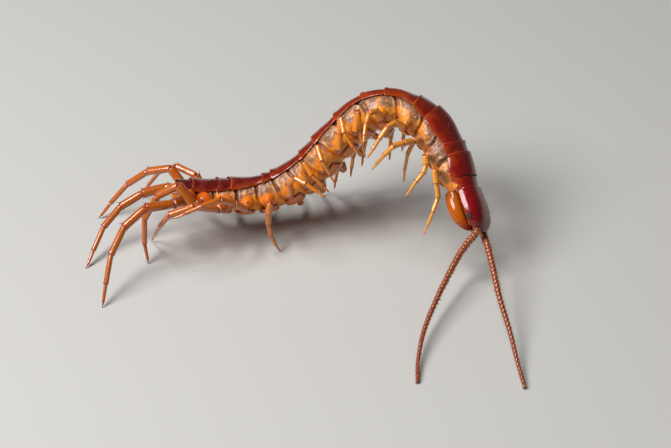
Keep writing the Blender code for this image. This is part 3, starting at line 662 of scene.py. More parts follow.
def flank_material(colours):
    """Soft joint membrane, thin and folded over pale tissue: grey-brown ridges above, amber below. Both are
    lighter on the raised folds, partly the membrane's own colour and partly a painted highlight, and darker
    in the furrows, which is painted shade.
    """
    material, tree, shader = new_material("pleural_membrane", IOR=1.42, Coat_Weight=0.2, Coat_Roughness=0.2,
                                          Subsurface_Weight=0.25, Subsurface_Scale=0.0005,
                                          Subsurface_Radius=(1.0, 0.6, 0.45))
    # Both ramps read the folds' tone. Their dark ends are painted shade in the furrows, and their light ends
    # are partly the membrane's pale ridges and partly a painted highlight
    fold = coloured_by(tree, "tone", [
        (0.0, "#52291A"), (0.3, "#7C523A"), (0.55, "#8E684E"), (0.8, "#AC866C"), (1.0, "#D4BAA4")])
    amber = coloured_by(tree, "tone", [
        (0.0, "#AE560C"), (0.35, "#DE8216"), (0.65, "#EC9C24"), (1.0, "#F4C468")])
    place = add(tree, "ShaderNodeAttribute", attribute_name="place").outputs["Fac"]
    patchy = add(tree, "ShaderNodeMath", {0: place, 1: surface_noise(tree, 0.9, 4.0)}, operation="ADD")
    colour = tinted(tree, fold, amber, patchy.outputs[0], 0.9, 1.15, 1.0)
    speck = surface_noise(tree, 0.16, 4.0)
    colour = tinted(tree, colour, (*colours.membrane, 1.0), speck, 0.35, 0.7, 0.5, "SOFT_LIGHT")
    tree.links.new(colour, shader.inputs["Base Color"])
    wear(tree, shader, 0.3, 0.26, 0.45)
    relief(tree, shader, (surface_noise(tree, 0.3, 5.0), 0.08, 0.7),
           (surface_noise(tree, 0.08, 2.0), 0.02, 0.35))
    return material


def clear_cuticle(name, along, bands, cloud, **sockets):
    """Thin cuticle over clear tissue: a colour along its place, darker in bands of its tone, and cloudy."""
    material, tree, shader = new_material(name, **sockets)
    both = {0: 1.0, 6: coloured_by(tree, "place", along), 7: coloured_by(tree, "tone", bands)}
    colour = add(tree, "ShaderNodeMix", both, data_type="RGBA", blend_type="MULTIPLY").outputs[2]
    if cloud:
        tint, size, detail, most = cloud
        colour = tinted(tree, colour, tint, surface_noise(tree, size, detail), 0.3, 0.7, most, "SOFT_LIGHT")
    tree.links.new(colour, shader.inputs["Base Color"])
    return material, tree, shader


def belly_material():
    """Half-tanned cuticle of the belly plates and leg bases: amber, a little cloudy, with a wet gloss."""
    material, tree, shader = clear_cuticle(
        "amber_belly_cuticle",
        [(0.0, "#C8A48C"), (0.14, "#C09068"), (0.26, "#DA8C22"), (0.6, "#DA8214"), (1.0, "#C45E08")],
        [(0.0, "#FFFFFF"), (0.5, "#FFFFFF"), (0.8, "#D89860"), (1.0, "#8A4A28")],
        ("#D89A48", 0.5, 4.0, 0.8),
        IOR=1.5, Roughness=0.28, Coat_Weight=0.4, Coat_Roughness=0.12, Subsurface_Weight=0.3,
        Subsurface_Scale=0.0005, Subsurface_Radius=(1.0, 0.45, 0.15))
    relief(tree, shader, (surface_noise(tree, 0.35), 0.04, 0.5))
    return material


def leg_material(colours):
    """Thin leg cuticle over clear tissue: amber in front, rust at the rear, darker at each joint."""
    material, tree, shader = clear_cuticle(
        "amber_leg_cuticle",
        [(0.0, "#D49438"), (0.25, "#CE8628"), (0.6, "#C47818"), (0.78, "#AE600A"), (1.0, "#9C5206")],
        [(0.0, "#FFFFFF"), (0.45, "#FFFFFF"), (0.75, "#E8BA8C"), (1.0, "#9A5428")],
        ((*colours.amber, 1.0), 0.45, 3.0, 0.6),
        IOR=1.52, Coat_Weight=1.0, Coat_Roughness=0.05, Subsurface_Weight=0.1,
        Subsurface_Scale=0.0003, Subsurface_Radius=(1.0, 0.6, 0.3))
    wear(tree, shader, 0.25, 0.2, 0.34)
    relief(tree, shader, (surface_noise(tree, 0.3, 2.0), 0.02, 0.2))
    return material


def forcipule_material():
    """Thick tanned cuticle of the venom claws: clear orange with a high gloss and a black tip."""
    material, tree, shader = new_material(
        "orange_claw_cuticle", IOR=1.5, Specular_IOR_Level=0.4, Roughness=0.16, Coat_Weight=0.12,
        Coat_Roughness=0.05, Subsurface_Weight=0.12, Subsurface_Scale=0.0004,
        Subsurface_Radius=(1.0, 0.45, 0.12))
    colour = coloured_by(tree, "tone", [
        (0.0, "#8C4608"), (0.3, "#A25A06"), (0.55, "#9E5004"), (0.7, "#8C3004"), (0.86, "#6A1A04"),
        (0.92, "#120503")])
    colour = tinted(tree, colour, "#F09030", surface_noise(tree, 0.6), 0.3, 0.7, 0.5, "SOFT_LIGHT")
    tree.links.new(colour, shader.inputs["Base Color"])
    relief(tree, shader, (surface_noise(tree, 0.6, 2.0), 0.02, 0.15))
    return material


def antenna_material():
    """Finely haired cuticle of the antenna's beads: rust brown with a wet gloss."""
    material, tree, shader = clear_cuticle(
        "rust_antenna_cuticle",
        [(0.0, "#FFFFFF"), (0.5, "#E8C8B0"), (1.0, "#F0D0A8")],
        [(0.0, "#361404"), (0.5, "#78340C"), (1.0, "#9C501A")], None,
        IOR=1.5, Roughness=0.26, Coat_Weight=0.6, Coat_Roughness=0.1, Subsurface_Weight=0.1,
        Subsurface_Scale=0.0002, Subsurface_Radius=(1.0, 0.5, 0.2))
    relief(tree, shader, (surface_noise(tree, 0.09, 2.0), 0.015, 0.5))
    return material


def eye_material():
    """The lenses of the simple eyes: black pigment under clear cuticle, with a hard gloss."""
    return new_material("black_eye_lens", Base_Color="#0C0608", IOR=1.56, Roughness=0.12, Coat_Weight=1.0,
                        Coat_Roughness=0.03)[0]


def bristle_material(name, code, roughness):
    """Solid cuticle of a bristle or spine, a little glossy."""
    return new_material(name, Base_Color=code, IOR=1.5, Roughness=roughness, Coat_Weight=0.3)[0]


def floor_material():
    """Matt card for the floor, with the faintest tooth."""
    material, tree, shader = new_material("matt_card", Base_Color=FLOOR_COLOUR, Roughness=0.85)
    relief(tree, shader, (surface_noise(tree, 0.6, 4.0), 0.02, 0.15))
    return material


def new_tree(name, **sockets):
    """A Geometry Nodes tree with named inputs after its geometry. Returns it and its inputs."""
    tree = bpy.data.node_groups.new(name, "GeometryNodeTree")
    tree.interface.new_socket("Geometry", in_out="INPUT", socket_type="NodeSocketGeometry")
    for label, kind in sockets.items():
        tree.interface.new_socket(label.replace("_", " "), in_out="INPUT", socket_type=f"NodeSocket{kind}")
    tree.interface.new_socket("Geometry", in_out="OUTPUT", socket_type="NodeSocketGeometry")
    return tree, add(tree, "NodeGroupInput").outputs


def end_tree(tree, geometry, material):
    """End a tree in one real mesh that wears its material."""
    real = add(tree, "GeometryNodeRealizeInstances", {"Geometry": geometry})
    done = add(tree, "GeometryNodeSetMaterial", {"Geometry": real.outputs[0], "Material": material})
    add(tree, "NodeGroupOutput", {"Geometry": done.outputs[0]})
    return tree


def give_tree(piece, tree, values):
    """Hang a tree on a piece, with values for its inputs by their names."""
    modifier = piece.modifiers.new(tree.name, "NODES")
    modifier.node_group = tree
    for item in tree.interface.items_tree:
        if item.item_type == "SOCKET" and item.in_out == "INPUT" and item.name in values:
            modifier[item.identifier] = values[item.name]


def bristle_tree(name, material):
    """Bristles on points that are scattered over a surface, laid over backwards."""
    tree, given = new_tree(name, Density="Float", Length="Float", Radius="Float", Lean="Vector", Seed="Int")
    points = add(tree, "GeometryNodeDistributePointsOnFaces",
                 {"Mesh": given["Geometry"], "Density": given["Density"], "Seed": given["Seed"]})
    leaning = {0: points.outputs["Normal"], 1: given["Lean"]}
    aim = add(tree, "ShaderNodeVectorMath", leaning, operation="ADD")
    turn = add(tree, "FunctionNodeAlignRotationToVector", {"Vector": aim.outputs[0]}, axis="Z")
    cone = add(tree, "GeometryNodeMeshCone",
               {"Vertices": 4, "Radius Top": 0.0, "Radius Bottom": given["Radius"], "Depth": given["Length"]},
               fill_type="NONE")
    shortest, longest = BRISTLE_LENGTHS
    vary = add(tree, "FunctionNodeRandomValue", {2: shortest, 3: longest, "Seed": given["Seed"]})
    placed = add(tree, "GeometryNodeInstanceOnPoints",
                 {"Points": points.outputs["Points"], "Instance": cone.outputs["Mesh"],
                  "Rotation": turn.outputs["Rotation"], "Scale": vary.outputs[1]})
    return end_tree(tree, placed.outputs[0], material)


def bristles(surface, material, slot, density, length, radius, lean):
    """Scatter bristles over a copy of a surface, and keep only them, none of them below the floor."""
    name = surface.name + "_bristles"
    piece = linked(name, surface.data.copy())
    give_tree(piece, bristle_tree(name, material), {
        "Density": density / MM ** 2, "Length": length * MM, "Radius": radius * MM, "Lean": lean,
        "Seed": BRISTLE_SEED})
    settle(piece)
    for vertex in piece.data.vertices:
        vertex.co.z = max(vertex.co.z, 0.0)
    return finish_piece(piece, material, slot)


def spine_tree(name, material):
    """Spines on given points, each along its point's own aim and as long as its own size."""
    tree, given = new_tree(name, Slenderness="Float")
    aim = add(tree, "GeometryNodeInputNamedAttribute", {"Name": "aim"}, data_type="FLOAT_VECTOR")
    size = add(tree, "GeometryNodeInputNamedAttribute", {"Name": "size"}, data_type="FLOAT")
    turn = add(tree, "FunctionNodeAlignRotationToVector", {"Vector": aim.outputs[0]}, axis="Z")
    cone = add(tree, "GeometryNodeMeshCone", {"Vertices": 6, "Side Segments": 3, "Radius Top": 0.0,
                                              "Radius Bottom": given["Slenderness"], "Depth": 1.0})
    placed = add(tree, "GeometryNodeInstanceOnPoints",
                 {"Points": given["Geometry"], "Instance": cone.outputs["Mesh"],
                  "Rotation": turn.outputs["Rotation"], "Scale": size.outputs[0]})
    return end_tree(tree, placed.outputs[0], material)


def point_object(name, points, aims, sizes):
    """A mesh of loose points with an aim and a size at each."""
    mesh = bpy.data.meshes.new(name)
    mesh.from_pydata([(p - ORIGIN) * MM for p in points], [], [])
    aim = mesh.attributes.new("aim", "FLOAT_VECTOR", "POINT")
    aim.data.foreach_set("vector", [c for a in aims for c in a])
    mesh.attributes.new("size", "FLOAT", "POINT").data.foreach_set("value", [s * MM for s in sizes])
    return linked(name, mesh)


def segment_borders():
    """Where one segment of the trunk ends and the next begins."""
    return [(a + b) / 2 for a, b in zip(LEG_AT, LEG_AT[1:])]


def flank_relief(behind, angle):
    """How far the soft skin stands out of the trunk's plain form, and how pale the fold is there. The
    paleness is partly the membrane's own lighter ridges and partly a painted highlight on what stands out,
    with painted shade in the furrows.
    """
    turn = abs(math.degrees(angle))
    # The folds begin under the rims of the back plates and fade towards the belly plates
    flank = ramped(turn, PLATE_RIM_TURN, 12.0) * ramped(BELLY_RIM_TURN - turn, 0.0, 26.0)
    border = min((behind - b for b in segment_borders()), key=abs)
    nearest = min(range(len(LEG_AT)), key=lambda k: abs(behind - LEG_AT[k]))
    spot = Vector((behind * 1.1, turn / 26.0, 3.0 if angle > 0 else 9.0))
    wander = noise.noise(spot * 0.9)
    # At each border between segments a slanting furrow, with a ridge on both sides of it
    slant = (turn - 88.0) / 95.0 + 0.3 * wander
    upper = hump(turn - POUCH_TURN, 24.0)
    ridge = upper * (hump(border - 0.2 + slant * 0.5, 0.1) + 0.7 * hump(border + 0.24 + slant * 0.5, 0.08))
    furrow = hump(border + slant * 0.5, 0.16)
    # A mound around each leg's base, and a pouch above it
    mound = hump(behind - LEG_AT[nearest], 0.6) * hump(turn - COXA_TURN[nearest], 20.0)
    pouch = hump(behind - LEG_AT[nearest] + 0.1, 0.5) * hump(turn - POUCH_TURN, 13.0)
    # Uneven creases, coarse and fine, over all of it
    crease = noise.noise(spot * 2.7) * 0.6 + noise.noise(spot * 5.7) * 0.4
    fine = noise.noise(Vector((behind * 5.0, turn / 5.5, 1.0)))
    out = flank * (0.1 * mound + 0.07 * pouch - 0.17 * furrow + 0.09 * ridge + 0.07 * crease + 0.015 * fine)
    # Paler where the skin stands out and darker in the furrows. Part of this is the membrane's own lighter
    # ridges, part is a painted highlight on the ridges, creases and mounds, and the darkening in the furrows
    # is painted shade
    pale = 0.46 + 0.5 * ridge + 0.3 * crease - 0.4 * furrow + 0.1 * mound + 0.14 * fine
    if flank < 1.0:
        out -= UNDER_PLATE_SINK * (1.0 - flank)
    return out, min(1.0, max(0.0, pale))


def make_flanks(sizes):
    """The one soft skin of the trunk, from the neck to the tail, with its folds and furrows."""
    around = sizes.skin_around
    angles = [(2 * math.pi * i / around + math.pi) % (2 * math.pi) - math.pi for i in range(around)]
    rows = []
    tones = []
    for k in range(sizes.skin_along + 1):
        behind = NECK_AT + (TAIL_TIP - NECK_AT) * k / sizes.skin_along
        shut = min(1.0, (TAIL_TIP - behind) / END_LENGTH, NECK_START + (behind - NECK_AT) / END_LENGTH)
        shrink = math.sqrt(max(1.0 - (1.0 - shut) ** 2, END_HOLE))
        centre = body_frame(behind)[0]
        folds = [flank_relief(behind, angle) for angle in angles]
        points = [skin_point(behind, angle, out) for angle, (out, _) in zip(angles, folds)]
        rows.append([centre + (point - centre) * shrink for point in points])
        # The tones carry the folds' paleness, with its painted highlight on the ridges and painted shade in
        # the furrows
        tones.append([pale for _, pale in folds])
    shell = Shell()
    shell.rings(rows, tones, [[abs(angle) / math.pi for angle in angles]] * len(rows), ends=(0.5, 1.0))
    return shell


def plate_lift(number, u, v, uneven):
    """How far a back plate stands off the trunk, with its raised rim, the moat inside it and two furrows."""
    if number == 0:
        return 0.02 + 0.04 * u ** 2 + 0.02 * uneven
    rim = hump(abs(v) - 0.95, 0.04) + hump(u - 0.97, 0.03)
    if number == 1:
        return 0.12 + 0.1 * u ** 2 + 0.015 * rim + 0.008 * uneven - 0.12 * v ** 4
    moat = hump(abs(v) - 0.85, 0.06) + hump(u - 0.89, 0.05) * (1 - v * v)
    sulci = hump(abs(v) - 0.33, 0.07) * min(1.0, 3.0 * u) * (u < 0.9)
    lift = 0.09 + 0.15 * u ** 2 + 0.022 * rim - 0.012 * moat - 0.015 * sulci + 0.065 * uneven * (1.0 - rim)
    return lift * (1.0 - 0.55 * abs(v) ** 4)


def plate_spot(number, front, rear, thickness, u, v):
    """A point of a back plate's outer face with its tone and place, u from front to rear and v across."""
    wide, narrow = [math.radians(turn) for turn in FRONT_SPREADS.get(number, PLATE_SPREAD)]
    rounding = 0.12 if number > 1 else 0.0
    corner = max(0.0, abs(v) - PLATE_CORNER) / (1.0 - PLATE_CORNER)
    # The rear edge runs out to points on some plates, is rounded on the others, and is hollowed in its middle
    reach = 0.3 * corner ** 1.5 if number in POINTED_PLATES else 0.1 * corner - 0.16 * corner ** 5
    reach -= 0.07 * (1 - v * v)
    behind = front + (rear - front) * u + reach * u
    turn = v * (wide + (narrow - wide) * u) * (1.0 - hump(u, 0.12) * corner ** 3 * rounding)
    uneven = noise.noise(Vector((behind * 1.9, v * 3.2, number * 3.7)))
    # The tone is pale along the rims, in patches
    patch = noise.noise(Vector((behind * 2.1, v * 4.0, number * 1.3)))
    border = max(abs(v) ** 6, hump(u - 1.0, 0.05)) * (0.75 + 0.6 * patch)
    tone = min(1.0, max(0.0, border, 0.5 * u * abs(v) + 0.35 * uneven))
    point = skin_point(behind, turn, plate_lift(number, u, v, uneven) + thickness * 0.5)
    return point, tone, (front + (rear - front) * u) / TAIL_TIP


def sheet_piece(name, shell, thickness, levels):
    """Give an open sheet a wall and round its rims."""
    piece = raw_object(name, shell)
    wall = piece.modifiers.new("wall", "SOLIDIFY")
    wall.thickness = thickness * MM
    wall.offset = -1.0
    wall.use_even_offset = False
    smooth = piece.modifiers.new("smooth", "SUBSURF")
    smooth.levels = levels
    smooth.render_levels = levels
    settle(piece)
    point_outwards(piece)
    return piece


def make_back_plates(thickness):
    """Every plate over the back, long and short by turns, each lying over the front of the next."""
    shell = Shell()
    for number, (front, rear) in enumerate([NECK_PLATE] + PLATES):
        start = front - (PLATE_OVERLAP if number > 1 else FRONT_OVERLAP)
        end = rear + PLATE_OVERLAP
        shell.sheet([[plate_spot(number, start, end, thickness, u, v) for v in PLATE_COLUMNS]
                     for u in PLATE_ROWS])
    return shell


def belly_spot(at, u, v):
    """A point of a belly plate's outer face with its tone and place, u from front to rear and v across."""
    edge = max(abs(u), abs(v))
    half = math.radians(31 - 4 * u)
    point = skin_point(at + 0.66 * u * (1 - 0.12 * v * v), math.pi + half * v, 0.16 - 0.12 * edge ** 4)
    return point, edge ** 3, at / TAIL_TIP


def make_belly_plates():
    """A plate under the belly for every pair of legs."""
    shell = Shell()
    for at in LEG_AT:
        shell.sheet([[belly_spot(at, u, v) for v in BELLY_STEPS] for u in BELLY_STEPS])
    return shell


def make_coxae():
    """The leg bases, sunk in the flanks, and the small hard spots in the skin above each."""
    shell = Shell()
    for side, turn in TURNS.items():
        for number in range(1, len(LEG_AT) + 1):
            start, direction = coxa_frame(side, number)
            radius = LEG_RADIUS[number - 1]
            _, forward, _, _ = body_frame(LEG_AT[number - 1])
            line = [start + direction * COXA_REACH * at for at, _ in COXA_PROFILE]
            tones = [blend(at, (-0.5, 0.3, 0.95, 1.06), (0.9, 0.15, 0.35, 1.0)) for at, _ in COXA_PROFILE]
            place = (number - 1) / (len(LEG_AT) - 1)
            stout = blend(number, (1, 3, 10, 13), (1.1, 1.0, 1.0, 1.2))
            shell.turned(line, [radius * size * stout for _, size in COXA_PROFILE], tones, place, 24,
                         flat=0.92, up=forward, poles=(0.1, -0.3))
            at = LEG_AT[number - 1] - SPOT_AHEAD
            near, far = [skin_point(at + k * SPOT_REACH, turn * math.radians(SPOT_TURN), -0.03)
                         for k in (-1, 1)]
            steps = [near.lerp(far, k / 8) for k in range(9)]
            wide = [SPOT_RADIUS * math.sin(math.pi * (0.08 + 0.84 * k / 8)) ** 0.6 for k in range(9)]
            shell.turned(steps, wide, [0.4] * 9, 0.2, 14, flat=0.8, poles=(0.2, 0.2))
    return shell


def make_leg(side, number):
    """One leg as separate straight joints, each a little sunk in the one before, and a claw at the end."""
    shell = Shell()
    places = leg_stations(side, number)
    place = (number - 1) / (len(LEG_AT) - 1)
    sizes = [LEG_RADIUS[number - 1] * share for share in LEG_THICKNESS]
    tip = places[-1]
    if tip.z < 0.01:
        tip = Vector((tip.x, tip.y, 0.02))
    for k, radius in enumerate(sizes[:-1]):
        begin, end = places[k], places[k + 1]
        taper = 0.5 * (radius + sizes[k + 1]) if k >= 2 else radius
        line = []
        radii = []
        tones = []
        for at, size in PODOMERE_PROFILE:
            line.append(begin.lerp(end, at))
            wide = radius + (taper - radius) * max(at, 0.0)
            radii.append(wide * (min(size, 1.0) if k > 4 else size))
            tones.append(blend(at, (0.0, 0.08, 0.88, 0.98), (0.8, 0.12, 0.2, 0.8)))
        shell.turned(line, radii, tones, place, 16, flat=0.93, poles=(0.2, -0.2))
    base = places[-2]
    aim = tip - base
    sag = Vector((0.0, 0.0, 0.12 * aim.length))
    line = [base - aim * 0.1, base + aim * 0.2 + sag * 0.3, base + aim * 0.6 + sag * 0.6, tip]
    claw = sizes[-2] * 0.62
    shell.turned(smooth_line(line, 3), [claw * (1.0 - 0.9 * (i / 9) ** 1.2) for i in range(10)],
                 [0.6 + 0.04 * i for i in range(10)], place, 10, poles=(0.2, 0.5))
    return shell


def leg_spine_points(rng):
    """Where the spines at the ends of the legs' joints stand, and which way they point."""
    points, aims, sizes = [], [], []
    for _, side in SIDES:
        for number in range(1, len(LEG_AT) + 1):
            places = leg_stations(side, number)
            for k, count, length in SPINE_RINGS:
                end = places[k]
                along = (places[k] - places[k - 1]).normalized()
                across = along.cross(Vector((0.0, 0.0, 1.0))).normalized()
                over = across.cross(along)
                radius = LEG_RADIUS[number - 1] * LEG_THICKNESS[k - 1]
                for i in range(count):
                    turn = 2 * math.pi * (i + 0.5) / count + rng.uniform(-0.25, 0.25)
                    outward = across * math.cos(turn) + over * math.sin(turn)
                    points.append(end - along * 0.06 + outward * radius * 0.95)
                    aims.append((along + outward * rng.uniform(0.45, 0.8)).normalized())
                    sizes.append(length * rng.uniform(0.75, 1.1))
    return points, aims, sizes


def shield_spot(step, v):
    """A point of the head's shield with its tone and place, step by step from the rear and v across."""
    at = SHIELD_REAR + step * (1.0 - SHIELD_REAR / SHIELD_ROWS[-1])
    width = eased(at, HEAD_AT, HEAD_HALF_WIDTH, 0.12)
    top = eased(at, HEAD_AT, HEAD_TOP, 0.12)
    angle = v * math.radians(SHIELD_TURN)
    # A raised rim with a shallow moat inside it, a groove across, a dented face and a notch over each eye
    rim = hump(abs(v) - 0.96, 0.05) * 0.05 - hump(abs(v) - 0.87, 0.05) * 0.03
    rim += (hump(step - 0.06, 0.07) * 0.05 - hump(step - 0.24, 0.1) * 0.025) * (abs(v) < 0.93)
    groove = -0.035 * hump(at - 2.62 - 0.3 * v * v, 0.08) - 0.02 * hump(v, 0.05) * hump(at - 3.2, 0.5)
    dent = 0.025 * noise.noise(Vector((at * 1.6, v * 2.2, 7.0)))
    notch = 0.13 * hump(at - EYE_PLACES[0][0] - 0.05, 0.3) * abs(v) ** 8
    ahead = at - 0.16 * (1 - v * v) * hump(step, 0.5)
    up = HEAD_RISE + 0.06 + rounded(math.cos(angle), 0.95) * (top - 0.02 + groove + dent) + rim * 0.5
    side = -rounded(math.sin(angle), 0.86) * (width + 0.2 + rim * 0.5 - notch)
    point = head_place(ahead - 0.12, side, up - 0.26 * abs(v) ** 4)
    return point, max(abs(v) ** 6, hump(step, 0.1)), at / SHIELD_ROWS[-1]


def make_head_shield():
    """The shield over the head, with a raised rim, a shallow groove across and a notch over each eye."""
    shell = Shell()
    across = [rounded(2.0 * j / (SHIELD_COLUMNS - 1) - 1.0, 0.9) for j in range(SHIELD_COLUMNS)]
    shell.sheet([[shield_spot(step, v) for v in across] for step in SHIELD_ROWS])
    return shell


def head_ring(at, width, top, bottom, middle, sides=36):
    """One ring around a part of the head, with its own height above and below its middle."""
    ring = []
    for i in range(sides):
        angle = 2 * math.pi * i / sides
        height = top if math.cos(angle) > 0 else bottom
        across = -rounded(math.sin(angle), 0.8) * width
        ring.append(head_place(at, across, middle + rounded(math.cos(angle), 0.9) * height))
    return ring


def make_head_capsule():
    """The head under its shield, with a collar for each antenna."""
    shell = Shell()
    stations = [k * HEAD_AT[-1] / 26 for k in range(27)]
    rows = []
    for at in stations:
        width = eased(at, HEAD_AT, HEAD_HALF_WIDTH, 0.15)
        top = eased(at, HEAD_AT, HEAD_TOP, 0.15)
        bottom = eased(at, HEAD_AT, HEAD_BOTTOM, 0.15)
        rows.append(head_ring(at, width * 0.98, top * 0.75, bottom, HEAD_RISE - 0.04))
    shell.rings(rows, [0.3] * len(rows), [at / HEAD_AT[-1] for at in stations], (0.0, 0.2))
    for side in (-1, 1):
        start, direction = socket_frame(side)
        line = [start + direction * at for at in (-0.6, -0.2, -0.05, 0.06, 0.12, 0.1)]
        shell.turned(line, (0.42, 0.44, 0.43, 0.41, 0.36, 0.3), [0.2, 0.3, 0.5, 0.8, 0.9, 0.2], 0.9, 24,
                     poles=(0.1, -0.2))
    return shell


def make_mouth_parts():
    """What shows under the head: the toothed plate between the claws, the lip, the palps and the neck."""
    shell = Shell()
    under = [head_ring(at, width, (high - low) / 2, (high - low) / 2, (low + high) / 2)
             for at, width, low, high in COXOSTERNUM]
    shell.rings(under, COXOSTERNUM_TONE, [0.8] * len(under), (0.1, 0.1))
    lobe_radii = [0.22 * math.sin(math.pi * (0.15 + 0.8 * k / 10)) for k in range(11)]
    neck_radii = [0.08 + 0.08 * hump(k - 8, 3.0) for k in range(11)]
    strut_radii = [0.2 - 0.011 * k for k in range(11)]
    forms = ((PALP_LINE, smooth_sizes(PALP_RADIUS, 5), 0.3, 0.6, 14, (0.2, 0.6)),
             (LOBE_LINE, lobe_radii, 0.15, 0.3, 14, (0.2, 0.4)),
             (NECK_LINE, neck_radii, 0.1, 0.4, 12, (0.4, 0.6)),
             (STRUT_LINE, strut_radii, 0.6, 0.9, 12, (0.3, 0.6)))
    for side in (-1, 1):
        for y in TEETH_AT:
            tooth = head_line([(1.12, y, -1.04), (1.26, y, -1.06), (1.36, y, -1.04)], side)
            shell.turned(tooth, (0.1, 0.085, 0.03), (0.9, 1.0, 1.0), 1.0, 10, poles=(0.1, 0.6))
        for places, radii, tone, place, sides, poles in forms:
            line = smooth_line(head_line(places, side), 5)
            shell.turned(line, radii, [tone] * len(radii), place, sides, poles=poles)
    lip = [head_place(3.05, y, 0.02) for y in (-0.5, -0.38, -0.2, 0.0, 0.2, 0.38, 0.5)]
    shell.turned(lip, (0.06, 0.14, 0.18, 0.19, 0.18, 0.14, 0.06), [0.3] * 7, 0.9, 14, poles=(0.4, 0.4))
    return shell


def make_forcipule(side):
    """A venom claw: a long stout joint, two short ones and a curved black-tipped fang, deeper than wide."""
    shell = Shell()
    line = smooth_line([(x, side * y, z / FORCIPULE_DEPTH) for x, y, z in FORCIPULE_LINE], steps=12)
    radii = smooth_sizes(FORCIPULE_RADIUS, 12)
    shaped = []
    tones = []
    for k, radius in enumerate(radii):
        share = k / (len(line) - 1)
        pinch = sum(hump(share - at, 0.011) for at in (0.6, 0.68, 0.75))
        collar = hump(share - 0.035, 0.018)
        shaped.append(max(radius, 0.03) * (1.0 - 0.1 * pinch + 0.05 * collar))
        tones.append(min(1.0, share + 0.08 * pinch))
    shell.turned(line, shaped, tones, 0.5, 28, poles=(0.35, 0.8))
    shell.points = [head_place(p.x, p.y, p.z * FORCIPULE_DEPTH + 0.04) for p in shell.points]
    return shell


def eye_points(side):
    """The lenses of one side's patch of simple eyes, in rows, and the way that they look."""
    middle, outside, before = head_line(EYE_PLACES, side)
    out = (outside - middle).normalized()
    ahead = (before - middle).normalized()
    out = (out - out.dot(ahead) * ahead).normalized()
    up = ahead.cross(out) * side
    points, aims, sizes = [], [], []
    for row, (count, shift) in enumerate(EYE_ROWS):
        for i in range(count):
            along = (i - (count - 1) / 2) * EYE_SPACING[0] + shift
            height = (1.5 - row) * EYE_SPACING[1]
            sink = -EYE_BULGE * (along ** 2 + height ** 2)
            points.append(middle + ahead * along + up * height + out * (0.01 + sink))
            aims.append(out)
            sizes.append(LARGE_LENS_RADIUS if (row, i) == (1, 0) else LENS_RADIUS)
    return points, aims, sizes


def lens_tree(material):
    """A domed lens on every point, as wide as its size."""
    tree, given = new_tree("lenses", Smoothness="Int")
    size = add(tree, "GeometryNodeInputNamedAttribute", {"Name": "size"}, data_type="FLOAT")
    ball = add(tree, "GeometryNodeMeshIcoSphere", {"Radius": 1.0, "Subdivisions": given["Smoothness"]})
    placed = add(tree, "GeometryNodeInstanceOnPoints",
                 {"Points": given["Geometry"], "Instance": ball.outputs["Mesh"], "Scale": size.outputs[0]})
    return end_tree(tree, placed.outputs[0], material)


def socket_frame(side):
    """Mouth of an antenna's socket and the direction that the antenna leaves in."""
    start, further = head_line(SOCKET_PLACES, side)
    return start, (further - start).normalized()


# The sums that give an antenna its beads. Each has a name and works on numbers or on earlier names: how many
# points the curve gets, where each point stands in its bead, how far the bead swells there, and its width
BEAD_SUMS = (
    ("steps", "MULTIPLY", "beads", BEAD_POINTS), ("count", "ADD", "steps", 1.0),
    ("before_end", "MINIMUM", "share", 0.9999), ("crowding", "POWER", "before_end", 0.9),
    ("turns", "MULTIPLY", "crowding", "beads"), ("phase", "FRACT", "turns", 0.0),
    ("late", "POWER", "phase", 0.75), ("arc", "MULTIPLY", "late", math.pi), ("wave", "SINE", "arc", 0.0),
    ("swell", "POWER", "wave", 0.6), ("above_neck", "SUBTRACT", 1.0, "neck"),
    ("rise", "MULTIPLY", "swell", "above_neck"), ("bead", "ADD", "neck", "rise"),
    ("width", "MULTIPLY", "bead", "taper"),
)


def antenna_tree(material):
    """Beads strung along a curve: a tube whose radius swells and narrows once for each bead."""
    tree, given = new_tree("antenna_beads", Beads="Int", Root_Radius="Float", Tip_Radius="Float",
                           Neck="Float")
    share = add(tree, "GeometryNodeSplineParameter").outputs["Factor"]
    taper = add(tree, "ShaderNodeMapRange", {"Value": share, "To Min": given["Root Radius"],
                                             "To Max": given["Tip Radius"]})
    known = {"share": share, "beads": given["Beads"], "neck": given["Neck"], "taper": taper.outputs["Result"]}
    for name, operation, first, second in BEAD_SUMS:
        sockets = {0: known.get(first, first), 1: known.get(second, second)}
        known[name] = add(tree, "ShaderNodeMath", sockets, operation=operation).outputs[0]
    line = add(tree, "GeometryNodeResampleCurve", {"Curve": given["Geometry"], "Count": known["count"]},
               mode="COUNT")
    geometry = line.outputs[0]
    for label, value in (("tone", known["swell"]), ("place", share)):
        stored = add(tree, "GeometryNodeStoreNamedAttribute",
                     {"Geometry": geometry, "Name": label, "Value": value}, data_type="FLOAT", domain="POINT")
        geometry = stored.outputs[0]
    ring = add(tree, "GeometryNodeCurvePrimitiveCircle", {"Resolution": 16, "Radius": 1.0})
    skin = add(tree, "GeometryNodeCurveToMesh", {"Curve": geometry, "Profile Curve": ring.outputs[0],
                                                 "Scale": known["width"], "Fill Caps": True})
    return end_tree(tree, skin.outputs[0], material)


def antenna_path(side, stops, sizes):
    """The line of an antenna from inside its socket to its tip, kept its own radius over the floor."""
    start, direction = socket_frame(side)
    root = start + direction * (SOCKET_REACH + GAP)
    path = smooth_line([start + direction * SOCKET_REACH * 0.5, root] + [Vector(p) for p in stops])
    for k, point in enumerate(path):
        radius = sizes.antenna_root + (sizes.antenna_tip - sizes.antenna_root) * k / len(path)
        point.z = max(point.z, radius + 0.01)
    return path


